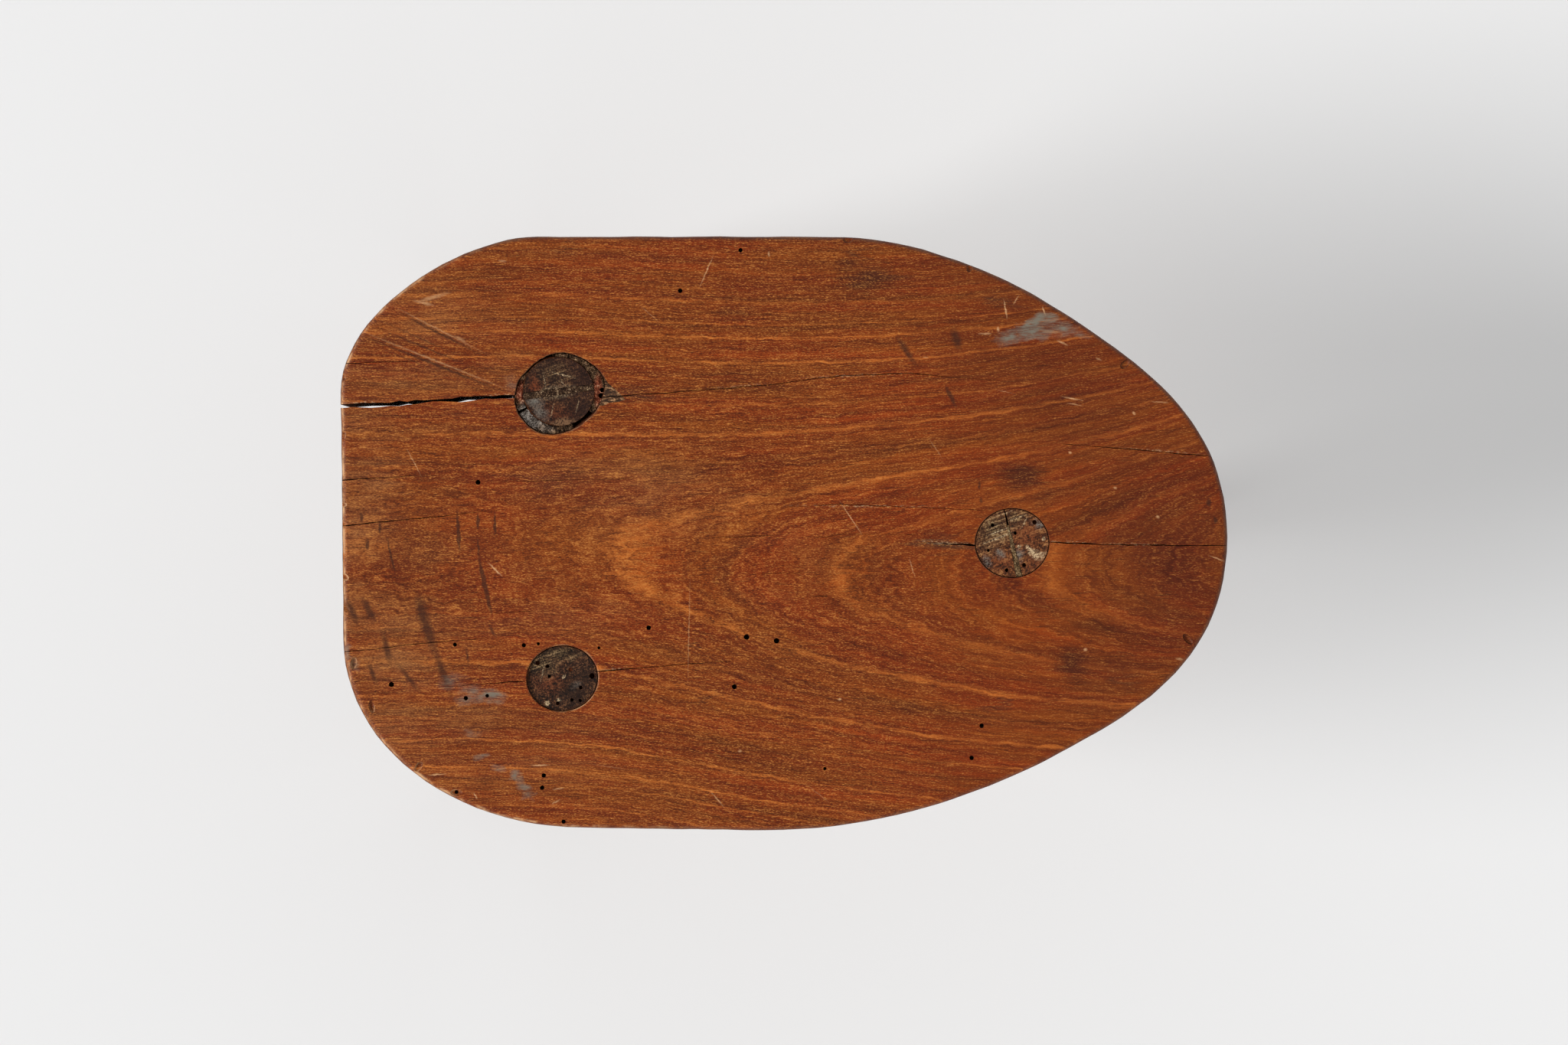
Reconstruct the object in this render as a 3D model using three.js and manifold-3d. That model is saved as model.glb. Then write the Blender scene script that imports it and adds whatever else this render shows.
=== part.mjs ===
// Tripod milking stool: a plank seat with a rounded nose on three splayed legs. The tapered tenon of
// each leg goes right through the seat, and two of them are split and wedged from above.
// Millimetres. +X points to the nose, +Y to the left side, +Z up. The origin is on the floor under the
// middle of the seat.

import * as THREE from 'three';
import { mergeVertices } from 'three/addons/utils/BufferGeometryUtils.js';
import Module from 'manifold-3d';

const wasm = await Module();
wasm.setup();

// Overall sizes
const seatHeight = 300;
const seatLength = 370;
const seatWidth = 248;
const seatThickness = 38;

// Clearance between two pieces that touch
const fitGap = 0.3;

// How far a cutter or a blank runs past what it cuts
const overrun = 10;

// The worn round along the seat's edges
const seatArris = 2.5;

// The seat's outline is a straight rear edge, two straight sides and five curves. A run is measured
// along a side and a drop along the rear edge, and a pull is how far a curve holds its first direction.
const rearLeftCorner = { run: 82, drop: 65, edgePull: 34, sidePull: 31 };
const rearRightCorner = { run: 101.5, drop: 80, edgePull: 44, sidePull: 55 };
const noseLeft = { run: 165.5, sidePull: 46, tipPull: 47 };
const noseRight = { run: 193, sidePull: 60, tipPull: 50 };
const cheekLeft = { run: 69.5, inset: 31, heading: 33, backPull: 10.5, frontPull: 44.5 };
const cheekRight = { run: 68.5, inset: 33, heading: 28, backPull: 19.5, frontPull: 38 };
const noseTipOffset = -1.5;
const rearEdgeLean = 1.2;
const rightSideLean = 1.2;

// Edges that the legs and the outline are set out from
const noseEdge = seatLength / 2;
const rearEdge = -seatLength / 2;
const leftEdge = seatWidth / 2;
const rightEdge = -seatWidth / 2;

// Legs: shaved from a square to eight soft flats, thickest a hand's breadth below the seat
const tenonTaper = 2.6; // degrees from the leg's middle line to its side
const tenonMargin = 7; // how far the straight tenon runs on below the seat
const shankDiameter = 37;
const shankDepth = 200;
const swellDiameter = 41;
const swellDepth = 108;
const footDiameter = 31;
const footChamfer = 1.5;
const flatCount = 8;
const flatShare = 0.955; // half the width across the flats, as a share of the radius
const flatsFadeIn = 30; // length over which the round tenon turns into flats

// How finely round and curved faces are divided
const legSides = 32;
const shankSteps = 14;
const wedgeSteps = 4;
const splitSteps = 4;
const outlineSteps = 12;
const arrisSteps = 3;

// Each leg: the middle of its tenon at the seat top, the middle of its foot on the floor, and how far
// its end lies below the seat top. A tenon is narrower across the grain, where it has shrunk.
const noseLeg = {
  name: 'nose_leg',
  mortise: new THREE.Vector2(noseEdge - 90.3, -4),
  foot: new THREE.Vector2(noseEdge - 23, 8),
  tenonDiameter: 29.6,
  shrinkage: 0.96,
  recess: 0.2,
};
const rearLeftLeg = {
  name: 'rear_left_leg',
  mortise: new THREE.Vector2(rearEdge + 91.4, leftEdge - 65.1),
  foot: new THREE.Vector2(rearEdge + 39, leftEdge - 20),
  tenonDiameter: 29.2,
  shrinkage: 0.97,
  recess: 0.6,
};
const rearRightLeg = {
  name: 'rear_right_leg',
  mortise: new THREE.Vector2(rearEdge + 93, rightEdge + 63.9),
  foot: new THREE.Vector2(rearEdge + 40, rightEdge + 20),
  tenonDiameter: 28.7,
  shrinkage: 0.93,
  recess: 1.2,
};

// Wedges: thick at one side of the tenon and thin at the other, and tapered downwards. A wedge stops
// where it would be thinner than its least thickness, and the saw kerf it fills runs right across.
const noseWedge = {
  name: 'nose_wedge',
  turn: 12.6, // degrees, from straight across the seat
  thickSide: 2.7,
  thinSide: 0.2,
  leastThickness: 0.8,
  bottomShare: 0.45,
  depth: 26,
};
const rearLeftWedge = {
  name: 'rear_left_wedge',
  turn: -82,
  thickSide: 3.1,
  thinSide: 2.4,
  leastThickness: 0.8,
  bottomShare: 0.4,
  depth: 24,
};
const kerfBelowWedge = 2;
const wedgeOverrun = 2; // how far a wedge blank and its kerf run past the sides of the tenon

// The rear left mortise has worn wider than its tenon by these amounts. Three tapered slips pack the
// room round the tenon, each over a stretch of the circle in degrees, counted from the nose towards the
// left side.
const wornMouth = {
  lengthWear: 8.4,
  widthWear: 4.7,
  bottomWear: 3.8,
  shift: new THREE.Vector2(0.5, -0.7),
};
const slipDepth = 24;
const packingSlips = [
  { name: 'front_packing_slip', from: -32, to: 98, recess: 0.9 },
  { name: 'back_packing_slip', from: 148, to: 206, recess: 0.7 },
  { name: 'inner_packing_slip', from: 210, to: 292, recess: 1.1 },
];

// Damage that goes through or into the seat: the split from the rear edge to the rear left mortise, and
// the splintered corner on the mortise's other side, set out from the middle of that mortise
const split = { edgeInset: 71, edgeWidth: 1.5, mortiseOffset: -1.9, mortiseWidth: 0.5, bow: 0.6 };
const splinter = {
  shoulder: new THREE.Vector2(19.1, 7.6),
  tip: new THREE.Vector2(27.1, -3.2),
  heel: new THREE.Vector2(18.1, -5.6),
  depth: 1.5,
};

// Materials
const beech = new THREE.MeshStandardMaterial({ color: 0x84421e, roughness: 0.5, metalness: 0 });
const legWood = new THREE.MeshStandardMaterial({ color: 0x6b3a20, roughness: 0.6, metalness: 0 });
const wedgeWood = new THREE.MeshStandardMaterial({ color: 0x8a7158, roughness: 0.8, metalness: 0 });
const slipWood = new THREE.MeshStandardMaterial({ color: 0x5a3a2a, roughness: 0.85, metalness: 0 });

// Turns a closed geometry into a solid that can be cut and joined
function solidOf(geometry) {
  geometry.deleteAttribute('normal');
  geometry.deleteAttribute('uv');
  const merged = mergeVertices(geometry, 1e-4);
  const corners = merged.index.array;
  const triangles = [];
  for (let i = 0; i < corners.length; i += 3) {
    const [a, b, c] = corners.slice(i, i + 3);
    if (a !== b && b !== c && c !== a) {
      triangles.push(a, b, c);
    }
  }
  const mesh = new wasm.Mesh({
    numProp: 3,
    vertProperties: new Float32Array(merged.attributes.position.array),
    triVerts: new Uint32Array(triangles),
  });
  return new wasm.Manifold(mesh);
}

function geometryOf(solid) {
  const { vertProperties, triVerts } = solid.getMesh();
  const geometry = new THREE.BufferGeometry();
  geometry.setAttribute('position', new THREE.BufferAttribute(vertProperties, 3));
  geometry.setIndex(new THREE.BufferAttribute(triVerts, 1));
  geometry.computeVertexNormals();
  return geometry;
}

function namedMesh(name, solid, material) {
  const mesh = new THREE.Mesh(geometryOf(solid), material);
  mesh.name = name;
  return mesh;
}

// Moves every corner of a geometry by a function that changes the point it is given
function reshape(geometry, change) {
  const position = geometry.attributes.position;
  const point = new THREE.Vector3();
  for (let i = 0; i < position.count; i += 1) {
    point.fromBufferAttribute(position, i);
    change(point);
    position.setXYZ(i, point.x, point.y, point.z);
  }
  return geometry;
}

// A leg's own frame: its origin is on the seat top and its Z runs up the leg
function legFrame(leg) {
  const top = new THREE.Vector3(leg.mortise.x, leg.mortise.y, seatHeight);
  const foot = new THREE.Vector3(leg.foot.x, leg.foot.y, 0);
  const frame = new THREE.Group();
  frame.position.copy(top);
  frame.quaternion.setFromUnitVectors(new THREE.Vector3(0, 0, 1), top.sub(foot).normalize());
  frame.updateMatrixWorld(true);
  return frame;
}

// The room between two level planes, such as the floor and the seat top, in a leg's frame
function levelSlab(frame, bottom, top) {
  const breadth = 2 * (seatLength + seatWidth);
  const slab = new THREE.BoxGeometry(breadth, breadth, top - bottom);
  slab.translate(0, 0, (bottom + top) / 2);
  slab.applyMatrix4(frame.matrixWorld.clone().invert());
  return solidOf(slab);
}

// Turns a profile of points, from the lowest to the highest, round the leg's Z
function turned(profile) {
  const lowest = profile[0];
  const highest = profile[profile.length - 1];
  const closed = [new THREE.Vector2(0, lowest.y), ...profile, new THREE.Vector2(0, highest.y)];
  return new THREE.LatheGeometry(closed, legSides).rotateX(Math.PI / 2);
}

function legLength(leg) {
  return Math.hypot(seatHeight, leg.mortise.distanceTo(leg.foot));
}

// The tenon stays straight until all of it is clear of the seat, which meets the leg at a slant
function tenonLength(leg) {
  const run = leg.mortise.distanceTo(leg.foot);
  const slantedThickness = seatThickness * (legLength(leg) / seatHeight);
  const slantAcross = (leg.tenonDiameter / 2) * (run / seatHeight);
  return slantedThickness + slantAcross + tenonMargin;
}

function legProfile(leg, grow) {
  const length = legLength(leg);
  const straight = tenonLength(leg);
  const slope = Math.tan(THREE.MathUtils.degToRad(tenonTaper));
  const topRadius = leg.tenonDiameter / 2;
  const shank = new THREE.SplineCurve([
    new THREE.Vector2(footDiameter / 2, -length),
    new THREE.Vector2(shankDiameter / 2, -shankDepth),
    new THREE.Vector2(swellDiameter / 2, -swellDepth),
    new THREE.Vector2(topRadius + straight * slope, -straight),
  ]);
  const profile = [
    new THREE.Vector2(footDiameter / 2, -length - overrun),
    ...shank.getPoints(shankSteps),
    new THREE.Vector2(topRadius - overrun * slope, overrun),
  ];
  return profile.map((point) => new THREE.Vector2(point.x + grow, point.y));
}

// Presses the round shank to soft flats, which fade out on the tenon
function shaveFlats(geometry, leg) {
  const flatAngle = (2 * Math.PI) / flatCount;
  const start = -tenonLength(leg);
  return reshape(geometry, (point) => {
    const angle = Math.atan2(point.y, point.x);
    const fromMiddle = THREE.MathUtils.euclideanModulo(angle, flatAngle) - flatAngle / 2;
    const shaved = Math.min(1, flatShare / Math.cos(fromMiddle));
    const strength = THREE.MathUtils.smoothstep(start - point.z, 0, flatsFadeIn);
    const scale = THREE.MathUtils.lerp(1, shaved, strength);
    point.x *= scale;
    point.y *= scale;
  });
}

function legBlank(leg, grow) {
  return shaveFlats(turned(legProfile(leg, grow)), leg).scale(1, leg.shrinkage, 1);
}

// A wedge, or grown by the clearance the kerf that takes it, from one place across the tenon to another.
// Its two faces start 1 mm either side of the middle, so x times half the thickness puts them in place.
function wedgeBlank(leg, wedge, start, end, depth, grow) {
  const radius = leg.tenonDiameter / 2;
  const blank = new THREE.BoxGeometry(2, end - start, depth + overrun, 1, wedgeSteps, wedgeSteps);
  blank.translate(0, (start + end) / 2, (overrun - depth) / 2);
  reshape(blank, (point) => {
    const across = (point.y + radius) / (2 * radius);
    const thickness = THREE.MathUtils.lerp(wedge.thickSide, wedge.thinSide, across);
    const taper = THREE.MathUtils.lerp(1, wedge.bottomShare, -point.z / wedge.depth);
    point.x *= (thickness * taper) / 2 + grow;
  });
  blank.rotateZ(THREE.MathUtils.degToRad(wedge.turn));
  return solidOf(blank);
}

function kerf(leg, wedge) {
  const reach = leg.tenonDiameter / 2 + wedgeOverrun;
  return wedgeBlank(leg, wedge, -reach, reach, wedge.depth + kerfBelowWedge, fitGap);
}

// Where across the tenon the wedge gets down to its least thickness, or the tenon's far side
function wedgeEnd(leg, wedge) {
  const share = (wedge.thickSide - wedge.leastThickness) / (wedge.thickSide - wedge.thinSide);
  return leg.tenonDiameter * Math.min(1, share) - leg.tenonDiameter / 2;
}

function buildWedge(leg, frame, wedge) {
  const start = -leg.tenonDiameter / 2 - wedgeOverrun;
  const blank = wedgeBlank(leg, wedge, start, wedgeEnd(leg, wedge), wedge.depth, 0);
  const trimmed = blank.intersect(solidOf(legBlank(leg, 0)));
  const level = trimmed.intersect(levelSlab(frame, 0, seatHeight - leg.recess));
  return namedMesh(wedge.name, level, wedgeWood);
}

// An upright cone that stands on the floor round the foot and takes the sharp edge off it
function footCone(leg, frame) {
  const bottom = footDiameter / 2 - footChamfer;
  const height = 2 * footDiameter;
  const cone = turned([new THREE.Vector2(bottom, 0), new THREE.Vector2(bottom + height, height)]);
  cone.translate(leg.foot.x, leg.foot.y, 0);
  cone.applyMatrix4(frame.matrixWorld.clone().invert());
  return solidOf(cone);
}

function buildLeg(leg, frame, wedge) {
  const sawn = solidOf(legBlank(leg, 0)).intersect(levelSlab(frame, 0, seatHeight - leg.recess));
  const aboveFoot = levelSlab(frame, footDiameter, seatHeight);
  const chamfered = sawn.intersect(footCone(leg, frame).add(aboveFoot));
  const finished = wedge ? chamfered.subtract(kerf(leg, wedge)) : chamfered;
  return namedMesh(leg.name, finished, legWood);
}

// The worn mouth of the rear left mortise, in the frame of its leg
function wornMouthBlank(leg, grow) {
  const length = leg.tenonDiameter + wornMouth.lengthWear;
  const width = leg.tenonDiameter + wornMouth.widthWear;
  const bottom = leg.tenonDiameter + wornMouth.bottomWear;
  const depth = seatThickness + overrun;
  const slope = (length - bottom) / 2 / depth;
  const topRadius = length / 2 + overrun * slope;
  const mouth = turned([
    new THREE.Vector2(bottom / 2 + grow, -depth),
    new THREE.Vector2(topRadius + grow, overrun),
  ]);
  mouth.scale(1, width / length, 1);
  return mouth.translate(wornMouth.shift.x, wornMouth.shift.y, 0);
}

function buildSlip(slip, leg, frame) {
  const sector = new THREE.Shape();
  const [from, to] = [slip.from, slip.to].map(THREE.MathUtils.degToRad);
  const reach = leg.tenonDiameter + wornMouth.lengthWear;
  sector.moveTo(0, 0);
  sector.lineTo(reach * Math.cos(from), reach * Math.sin(from));
  sector.absarc(0, 0, reach, from, to, false);
  const prism = new THREE.ExtrudeGeometry(sector, { depth: slipDepth + overrun, bevelEnabled: false });
  prism.translate(0, 0, -slipDepth);
  const room = solidOf(wornMouthBlank(leg, -fitGap)).subtract(solidOf(legBlank(leg, fitGap)));
  const piece = room.intersect(solidOf(prism));
  const level = piece.intersect(levelSlab(frame, 0, seatHeight - slip.recess));
  return namedMesh(slip.name, level, slipWood);
}

// The point of a cheek, where each side of the nose bends most, and the outline's direction there
function cheek(values, side) {
  const heading = THREE.MathUtils.degToRad(values.heading);
  const point = new THREE.Vector2(noseEdge - values.run, side * (leftEdge - values.inset));
  const direction = new THREE.Vector2(Math.cos(heading), -side * Math.sin(heading));
  return {
    point,
    back: point.clone().addScaledVector(direction, -values.backPull),
    front: point.clone().addScaledVector(direction, values.frontPull),
  };
}

function curveTo(outline, firstPull, secondPull, end) {
  outline.bezierCurveTo(firstPull.x, firstPull.y, secondPull.x, secondPull.y, end.x, end.y);
}

function seatOutline() {
  const at = (x, y) => new THREE.Vector2(x, y);
  const rearLeft = at(rearEdge, leftEdge - rearLeftCorner.drop);
  const rearRight = at(rearEdge + rearEdgeLean, rightEdge + rearRightCorner.drop);
  const leftSide = at(rearEdge + rearLeftCorner.run, leftEdge);
  const rightSide = at(rearEdge + rearRightCorner.run, rightEdge + rightSideLean);
  const leftShoulder = at(noseEdge - noseLeft.run, leftEdge);
  const rightShoulder = at(noseEdge - noseRight.run, rightEdge);
  const tip = at(noseEdge, noseTipOffset);
  const left = cheek(cheekLeft, 1);
  const right = cheek(cheekRight, -1);
  const shifted = (point, x, y) => at(point.x + x, point.y + y);

  const outline = new THREE.Shape();
  outline.moveTo(rearLeft.x, rearLeft.y);
  const leftSidePull = shifted(leftSide, -rearLeftCorner.sidePull, 0);
  curveTo(outline, shifted(rearLeft, 0, rearLeftCorner.edgePull), leftSidePull, leftSide);
  outline.lineTo(leftShoulder.x, leftShoulder.y);
  curveTo(outline, shifted(leftShoulder, noseLeft.sidePull, 0), left.back, left.point);
  curveTo(outline, left.front, shifted(tip, 0, noseLeft.tipPull), tip);
  curveTo(outline, shifted(tip, 0, -noseRight.tipPull), right.front, right.point);
  curveTo(outline, right.back, shifted(rightShoulder, noseRight.sidePull, 0), rightShoulder);
  outline.lineTo(rightSide.x, rightSide.y);
  const rightEdgePull = shifted(rearRight, 0, -rearRightCorner.edgePull);
  curveTo(outline, shifted(rightSide, -rearRightCorner.sidePull, 0), rightEdgePull, rearRight);
  outline.closePath();
  return outline;
}

function seatPlank() {
  const plank = new THREE.ExtrudeGeometry(seatOutline(), {
    depth: seatThickness - 2 * seatArris,
    curveSegments: outlineSteps,
    bevelThickness: seatArris,
    bevelSize: seatArris,
    bevelOffset: -seatArris,
    bevelSegments: arrisSteps,
  });
  plank.translate(0, 0, seatHeight - seatThickness + seatArris);
  return solidOf(plank);
}

// A mortise is the leg itself grown by the clearance, so the two taper and lean alike
function mortiseCuts(leg, frame) {
  const shapes = [legBlank(leg, fitGap)];
  if (leg === rearLeftLeg) {
    shapes.push(wornMouthBlank(leg, 0));
  }
  return shapes.map((shape) => solidOf(shape.applyMatrix4(frame.matrixWorld)));
}

// An upright prism on an outline, between two levels
function levelPrism(outline, bottom, top) {
  const options = { depth: top - bottom, bevelEnabled: false, curveSegments: splitSteps };
  const prism = new THREE.ExtrudeGeometry(outline, options);
  prism.translate(0, 0, bottom);
  return solidOf(prism);
}

// The split narrows from the rear edge to the mortise and bows a little with the grain
function splitCut() {
  const start = new THREE.Vector2(rearEdge - overrun, leftEdge - split.edgeInset);
  const end = new THREE.Vector2(rearLeftLeg.mortise.x, rearLeftLeg.mortise.y + split.mortiseOffset);
  const middle = start.clone().lerp(end, 0.5);
  const edgeHalf = split.edgeWidth / 2;
  const mortiseHalf = split.mortiseWidth / 2;
  const middleHalf = (edgeHalf + mortiseHalf) / 2;
  const bow = middle.y + split.bow;
  const outline = new THREE.Shape();
  outline.moveTo(start.x, start.y - edgeHalf);
  outline.quadraticCurveTo(middle.x, bow - middleHalf, end.x, end.y - mortiseHalf);
  outline.lineTo(end.x, end.y + mortiseHalf);
  outline.quadraticCurveTo(middle.x, bow + middleHalf, start.x, start.y + edgeHalf);
  outline.closePath();
  return levelPrism(outline, seatHeight - seatThickness - overrun, seatHeight + overrun);
}

function splinterCut() {
  const middle = rearLeftLeg.mortise;
  const corners = [splinter.heel, splinter.tip, splinter.shoulder];
  const outline = new THREE.Shape([middle, ...corners.map((corner) => corner.clone().add(middle))]);
  return levelPrism(outline, seatHeight - splinter.depth, seatHeight + overrun);
}

function buildSeat(legs) {
  const mortises = legs.flatMap(([leg, frame]) => mortiseCuts(leg, frame));
  const cuts = [...mortises, splitCut(), splinterCut()];
  const board = cuts.reduce((plank, cut) => plank.subtract(cut), seatPlank());
  return namedMesh('seat_board', board, beech);
}

function buildStool() {
  const stool = new THREE.Group();
  const legs = [
    [noseLeg, legFrame(noseLeg), noseWedge],
    [rearLeftLeg, legFrame(rearLeftLeg), rearLeftWedge],
    [rearRightLeg, legFrame(rearRightLeg), null],
  ];
  stool.add(buildSeat(legs));
  for (const [leg, frame, wedge] of legs) {
    frame.add(buildLeg(leg, frame, wedge));
    if (wedge) {
      frame.add(buildWedge(leg, frame, wedge));
    }
    if (leg === rearLeftLeg) {
      packingSlips.forEach((slip) => frame.add(buildSlip(slip, leg, frame)));
    }
    stool.add(frame);
  }
  return stool;
}

export default buildStool();
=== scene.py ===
# Tripod milking stool: a beech plank seat on three splayed, shaved legs. Metres; +X points to the round
# nose of the seat, +Y to its left side, +Z up, and the floor is at 0 under the middle of the seat.
import math
import random

import bpy
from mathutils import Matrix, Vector, noise


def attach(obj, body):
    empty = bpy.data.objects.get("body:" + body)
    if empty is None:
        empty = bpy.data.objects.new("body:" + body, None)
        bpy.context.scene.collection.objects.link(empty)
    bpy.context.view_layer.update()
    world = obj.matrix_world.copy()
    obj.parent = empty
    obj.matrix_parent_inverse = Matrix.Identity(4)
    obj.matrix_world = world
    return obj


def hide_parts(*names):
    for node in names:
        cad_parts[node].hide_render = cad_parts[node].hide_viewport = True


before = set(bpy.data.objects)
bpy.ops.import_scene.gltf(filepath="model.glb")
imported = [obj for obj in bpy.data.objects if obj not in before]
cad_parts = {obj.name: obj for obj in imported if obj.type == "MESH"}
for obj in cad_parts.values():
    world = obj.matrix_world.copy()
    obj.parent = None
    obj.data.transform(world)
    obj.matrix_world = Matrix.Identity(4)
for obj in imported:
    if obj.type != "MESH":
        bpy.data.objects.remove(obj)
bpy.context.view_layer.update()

# The seat: one plank of beech, 38 mm thick, sawn square across the rear and drawn in to a round nose.
# It is laid out as an outline, sawn through, and its edges are taken off with a spokeshave.
MM = 0.001
seat_top = 300
seat_underside = 262

# Each corner of the outline: its place, then the pull of the curve before it and after it. A pull of
# None is a straight side. Millimetres from the middle of the seat, as are all places below.
seat_corners = [
    ((-185, 59), None, (0, 34)),
    ((-103, 124), (-31, 0), None),
    ((19.5, 124), None, (46, 0)),
    ((115.5, 93), (-8.8, 5.7), (37.3, -24.2)),
    ((185, -1.5), (0, 47), (0, -50)),
    ((116.5, -91), (33.6, 17.8), (-17.2, -9.2)),
    ((-8, -124), (60, 0), None),
    ((-83.5, -122.8), None, (-55, 0)),
    ((-183.8, -44), (0, -44), None),
]
steps_between_corners = 24
longest_step = 50

# The worn round of an edge, in steps inwards from the side and up to the flat
arris = [(0.3, 1.0), (0.6, 0.75), (0.7, 0.45), (1.0, 0.2)]
arris_height = sum(rise for inwards, rise in arris)
flat_rings = [(2, 0), (3, 0), (4, 0)]
side_rows = 9
same_place = 0.001


def put_down():
    """Leave edit mode with nothing selected."""
    if bpy.context.object and bpy.context.object.mode != "OBJECT":
        bpy.ops.object.mode_set(mode="OBJECT")
    bpy.ops.object.select_all(action="DESELECT")


def take(*pieces):
    """Select only these pieces, the first of them active, ready for an operator."""
    put_down()
    for piece in pieces:
        piece.select_set(True)
    bpy.context.view_layer.objects.active = pieces[0]
    return pieces[0]


def edit_all(piece):
    """Go into edit mode with all of this piece selected."""
    take(piece)
    bpy.ops.object.mode_set(mode="EDIT")
    bpy.ops.mesh.select_all(action="SELECT")


def mark_out(piece, kind, test):
    """In edit mode, select only the vertices, edges or polygons that pass a test."""
    take(piece)
    for part in (piece.data.vertices, piece.data.edges, piece.data.polygons):
        part.foreach_set("select", [False] * len(part))
    for element in getattr(piece.data, kind):
        element.select = test(element)
    bpy.ops.object.mode_set(mode="EDIT")
    bpy.ops.mesh.select_mode(type={"vertices": "VERT", "edges": "EDGE", "polygons": "FACE"}[kind])


def lies_at(vertex, level):
    return abs(vertex.co.z - level * MM) < same_place * MM


def draw_seat_outline():
    """A closed line of points along the smooth curve through the seat's corners."""
    put_down()
    bpy.ops.curve.primitive_bezier_curve_add()
    line = bpy.context.object
    bpy.ops.object.mode_set(mode="EDIT")
    bpy.ops.curve.select_all(action="SELECT")
    bpy.ops.curve.subdivide(number_cuts=len(seat_corners) - 2)
    bpy.ops.curve.cyclic_toggle()
    bpy.ops.object.mode_set(mode="OBJECT")
    line.data.resolution_u = steps_between_corners
    for point, (place, before, after) in zip(line.data.splines[0].bezier_points, seat_corners):
        point.handle_left_type = "FREE" if before else "VECTOR"
        point.handle_right_type = "FREE" if after else "VECTOR"
        point.co = Vector((*place, seat_top - arris_height)) * MM
        if before:
            point.handle_left = point.co + Vector((*before, 0)) * MM
        if after:
            point.handle_right = point.co + Vector((*after, 0)) * MM
    bpy.ops.object.convert(target="MESH")
    outline = bpy.context.object
    edit_all(outline)
    bpy.ops.mesh.remove_doubles(threshold=0.01 * MM)
    bpy.ops.object.mode_set(mode="OBJECT")
    corners = outline.data.vertices

    def is_long(edge):
        start, end = edge.vertices
        return (corners[start].co - corners[end].co).length > longest_step * MM

    mark_out(outline, "edges", is_long)
    bpy.ops.mesh.subdivide(number_cuts=steps_between_corners - 1)
    return outline


def plane_face(piece, level, facing):
    """Close the outline at a level: a worn edge, rings that follow it, and a grid in the middle."""
    mark_out(piece, "vertices", lambda vertex: lies_at(vertex, level))
    bpy.ops.mesh.edge_face_add()
    bpy.ops.mesh.select_mode(type="FACE")
    bpy.ops.mesh.normals_make_consistent(inside=False)
    for inwards, rise in arris + flat_rings:
        bpy.ops.mesh.inset(thickness=inwards * MM, depth=rise * MM)
    bpy.ops.mesh.delete(type="ONLY_FACE")
    bpy.ops.object.mode_set(mode="OBJECT")
    corners = piece.data.vertices
    faces_at = {}
    for face in piece.data.polygons:
        for key in face.edge_keys:
            faces_at[key] = faces_at.get(key, 0) + 1

    def is_open_at_flat(edge):
        return faces_at[edge.key] == 1 and lies_at(corners[edge.vertices[0]], level + facing * arris_height)

    mark_out(piece, "edges", is_open_at_flat)
    bpy.ops.mesh.fill_grid(span=62, offset=30)
    bpy.ops.mesh.vertices_smooth(factor=0.5, repeat=6)


def wear_seat(piece):
    """Leave the flats a little hollow and the side in the shallow facets of a spokeshave."""
    for vertex in piece.data.vertices:
        x, y, z = vertex.co / MM
        side = 1 - abs(vertex.normal.z)
        broad = noise.noise(Vector((x / 70, y / 70, z / 10)))
        close = noise.noise(Vector((x / 16, y / 11, z / 10 + 7)))
        hollow = (0.10 + 0.08 * broad + 0.03 * close) * (1 - side)
        shaved = (0.35 + 0.30 * noise.noise(Vector((x / 9, y / 9, z / 45 + 3)))) * side
        vertex.co -= vertex.normal * (hollow + shaved) * MM


seat = draw_seat_outline()
seat.name = "seat_plank"
bpy.ops.mesh.select_all(action="SELECT")
row = (seat_top - seat_underside - 2 * arris_height) / side_rows
for _ in range(side_rows):
    bpy.ops.mesh.extrude_region_move(TRANSFORM_OT_translate={"value": (0, 0, -row * MM)})
plane_face(seat, seat_underside + arris_height, -1)
plane_face(seat, seat_top - arris_height, 1)
bpy.ops.mesh.select_all(action="SELECT")
bpy.ops.mesh.normals_make_consistent(inside=False)
put_down()
wear_seat(seat)

# Three mortises go through it at the legs' slant. A tenon tapers towards its end, has shrunk across the
# grain and has sunk a little below the seat. Its mortise is its own shape with a hair of room.
clearance = 0.3
tenon_taper = math.tan(math.radians(2.6))
cutter_above = 12
cutter_below = 60
nose_joint = {
    "mortise": (94.7, -4), "worn rim": 0.35,
    "foot": (162, 8), "diameter": 29.6, "shrinkage": 0.96, "sunk": 0.2,
}
rear_left_joint = {
    "mortise": (-93.6, 58.9), "worn rim": 0.5,
    "foot": (-146, 104), "diameter": 29.2, "shrinkage": 0.97, "sunk": 0.6,
}
rear_right_joint = {
    "mortise": (-92, -60.1), "worn rim": 0.6,
    "foot": (-145, -104), "diameter": 28.7, "shrinkage": 0.93, "sunk": 1.2,
}
joints = (nose_joint, rear_left_joint, rear_right_joint)


def leg_line(joint):
    """Where a leg's line meets the seat top and the floor, in metres, and the turn from upright to it."""
    top = Vector((*joint["mortise"], seat_top)) * MM
    foot = Vector((*joint["foot"], 0)) * MM
    return top, foot, Vector((0, 0, 1)).rotation_difference(top - foot)


def slant_into_place(piece, joint):
    """Stand a piece made upright round the origin in a leg's place, its origin on the seat top."""
    top, foot, lean = leg_line(joint)
    for vertex in piece.data.vertices:
        vertex.co = top + lean @ vertex.co
    return piece


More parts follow.
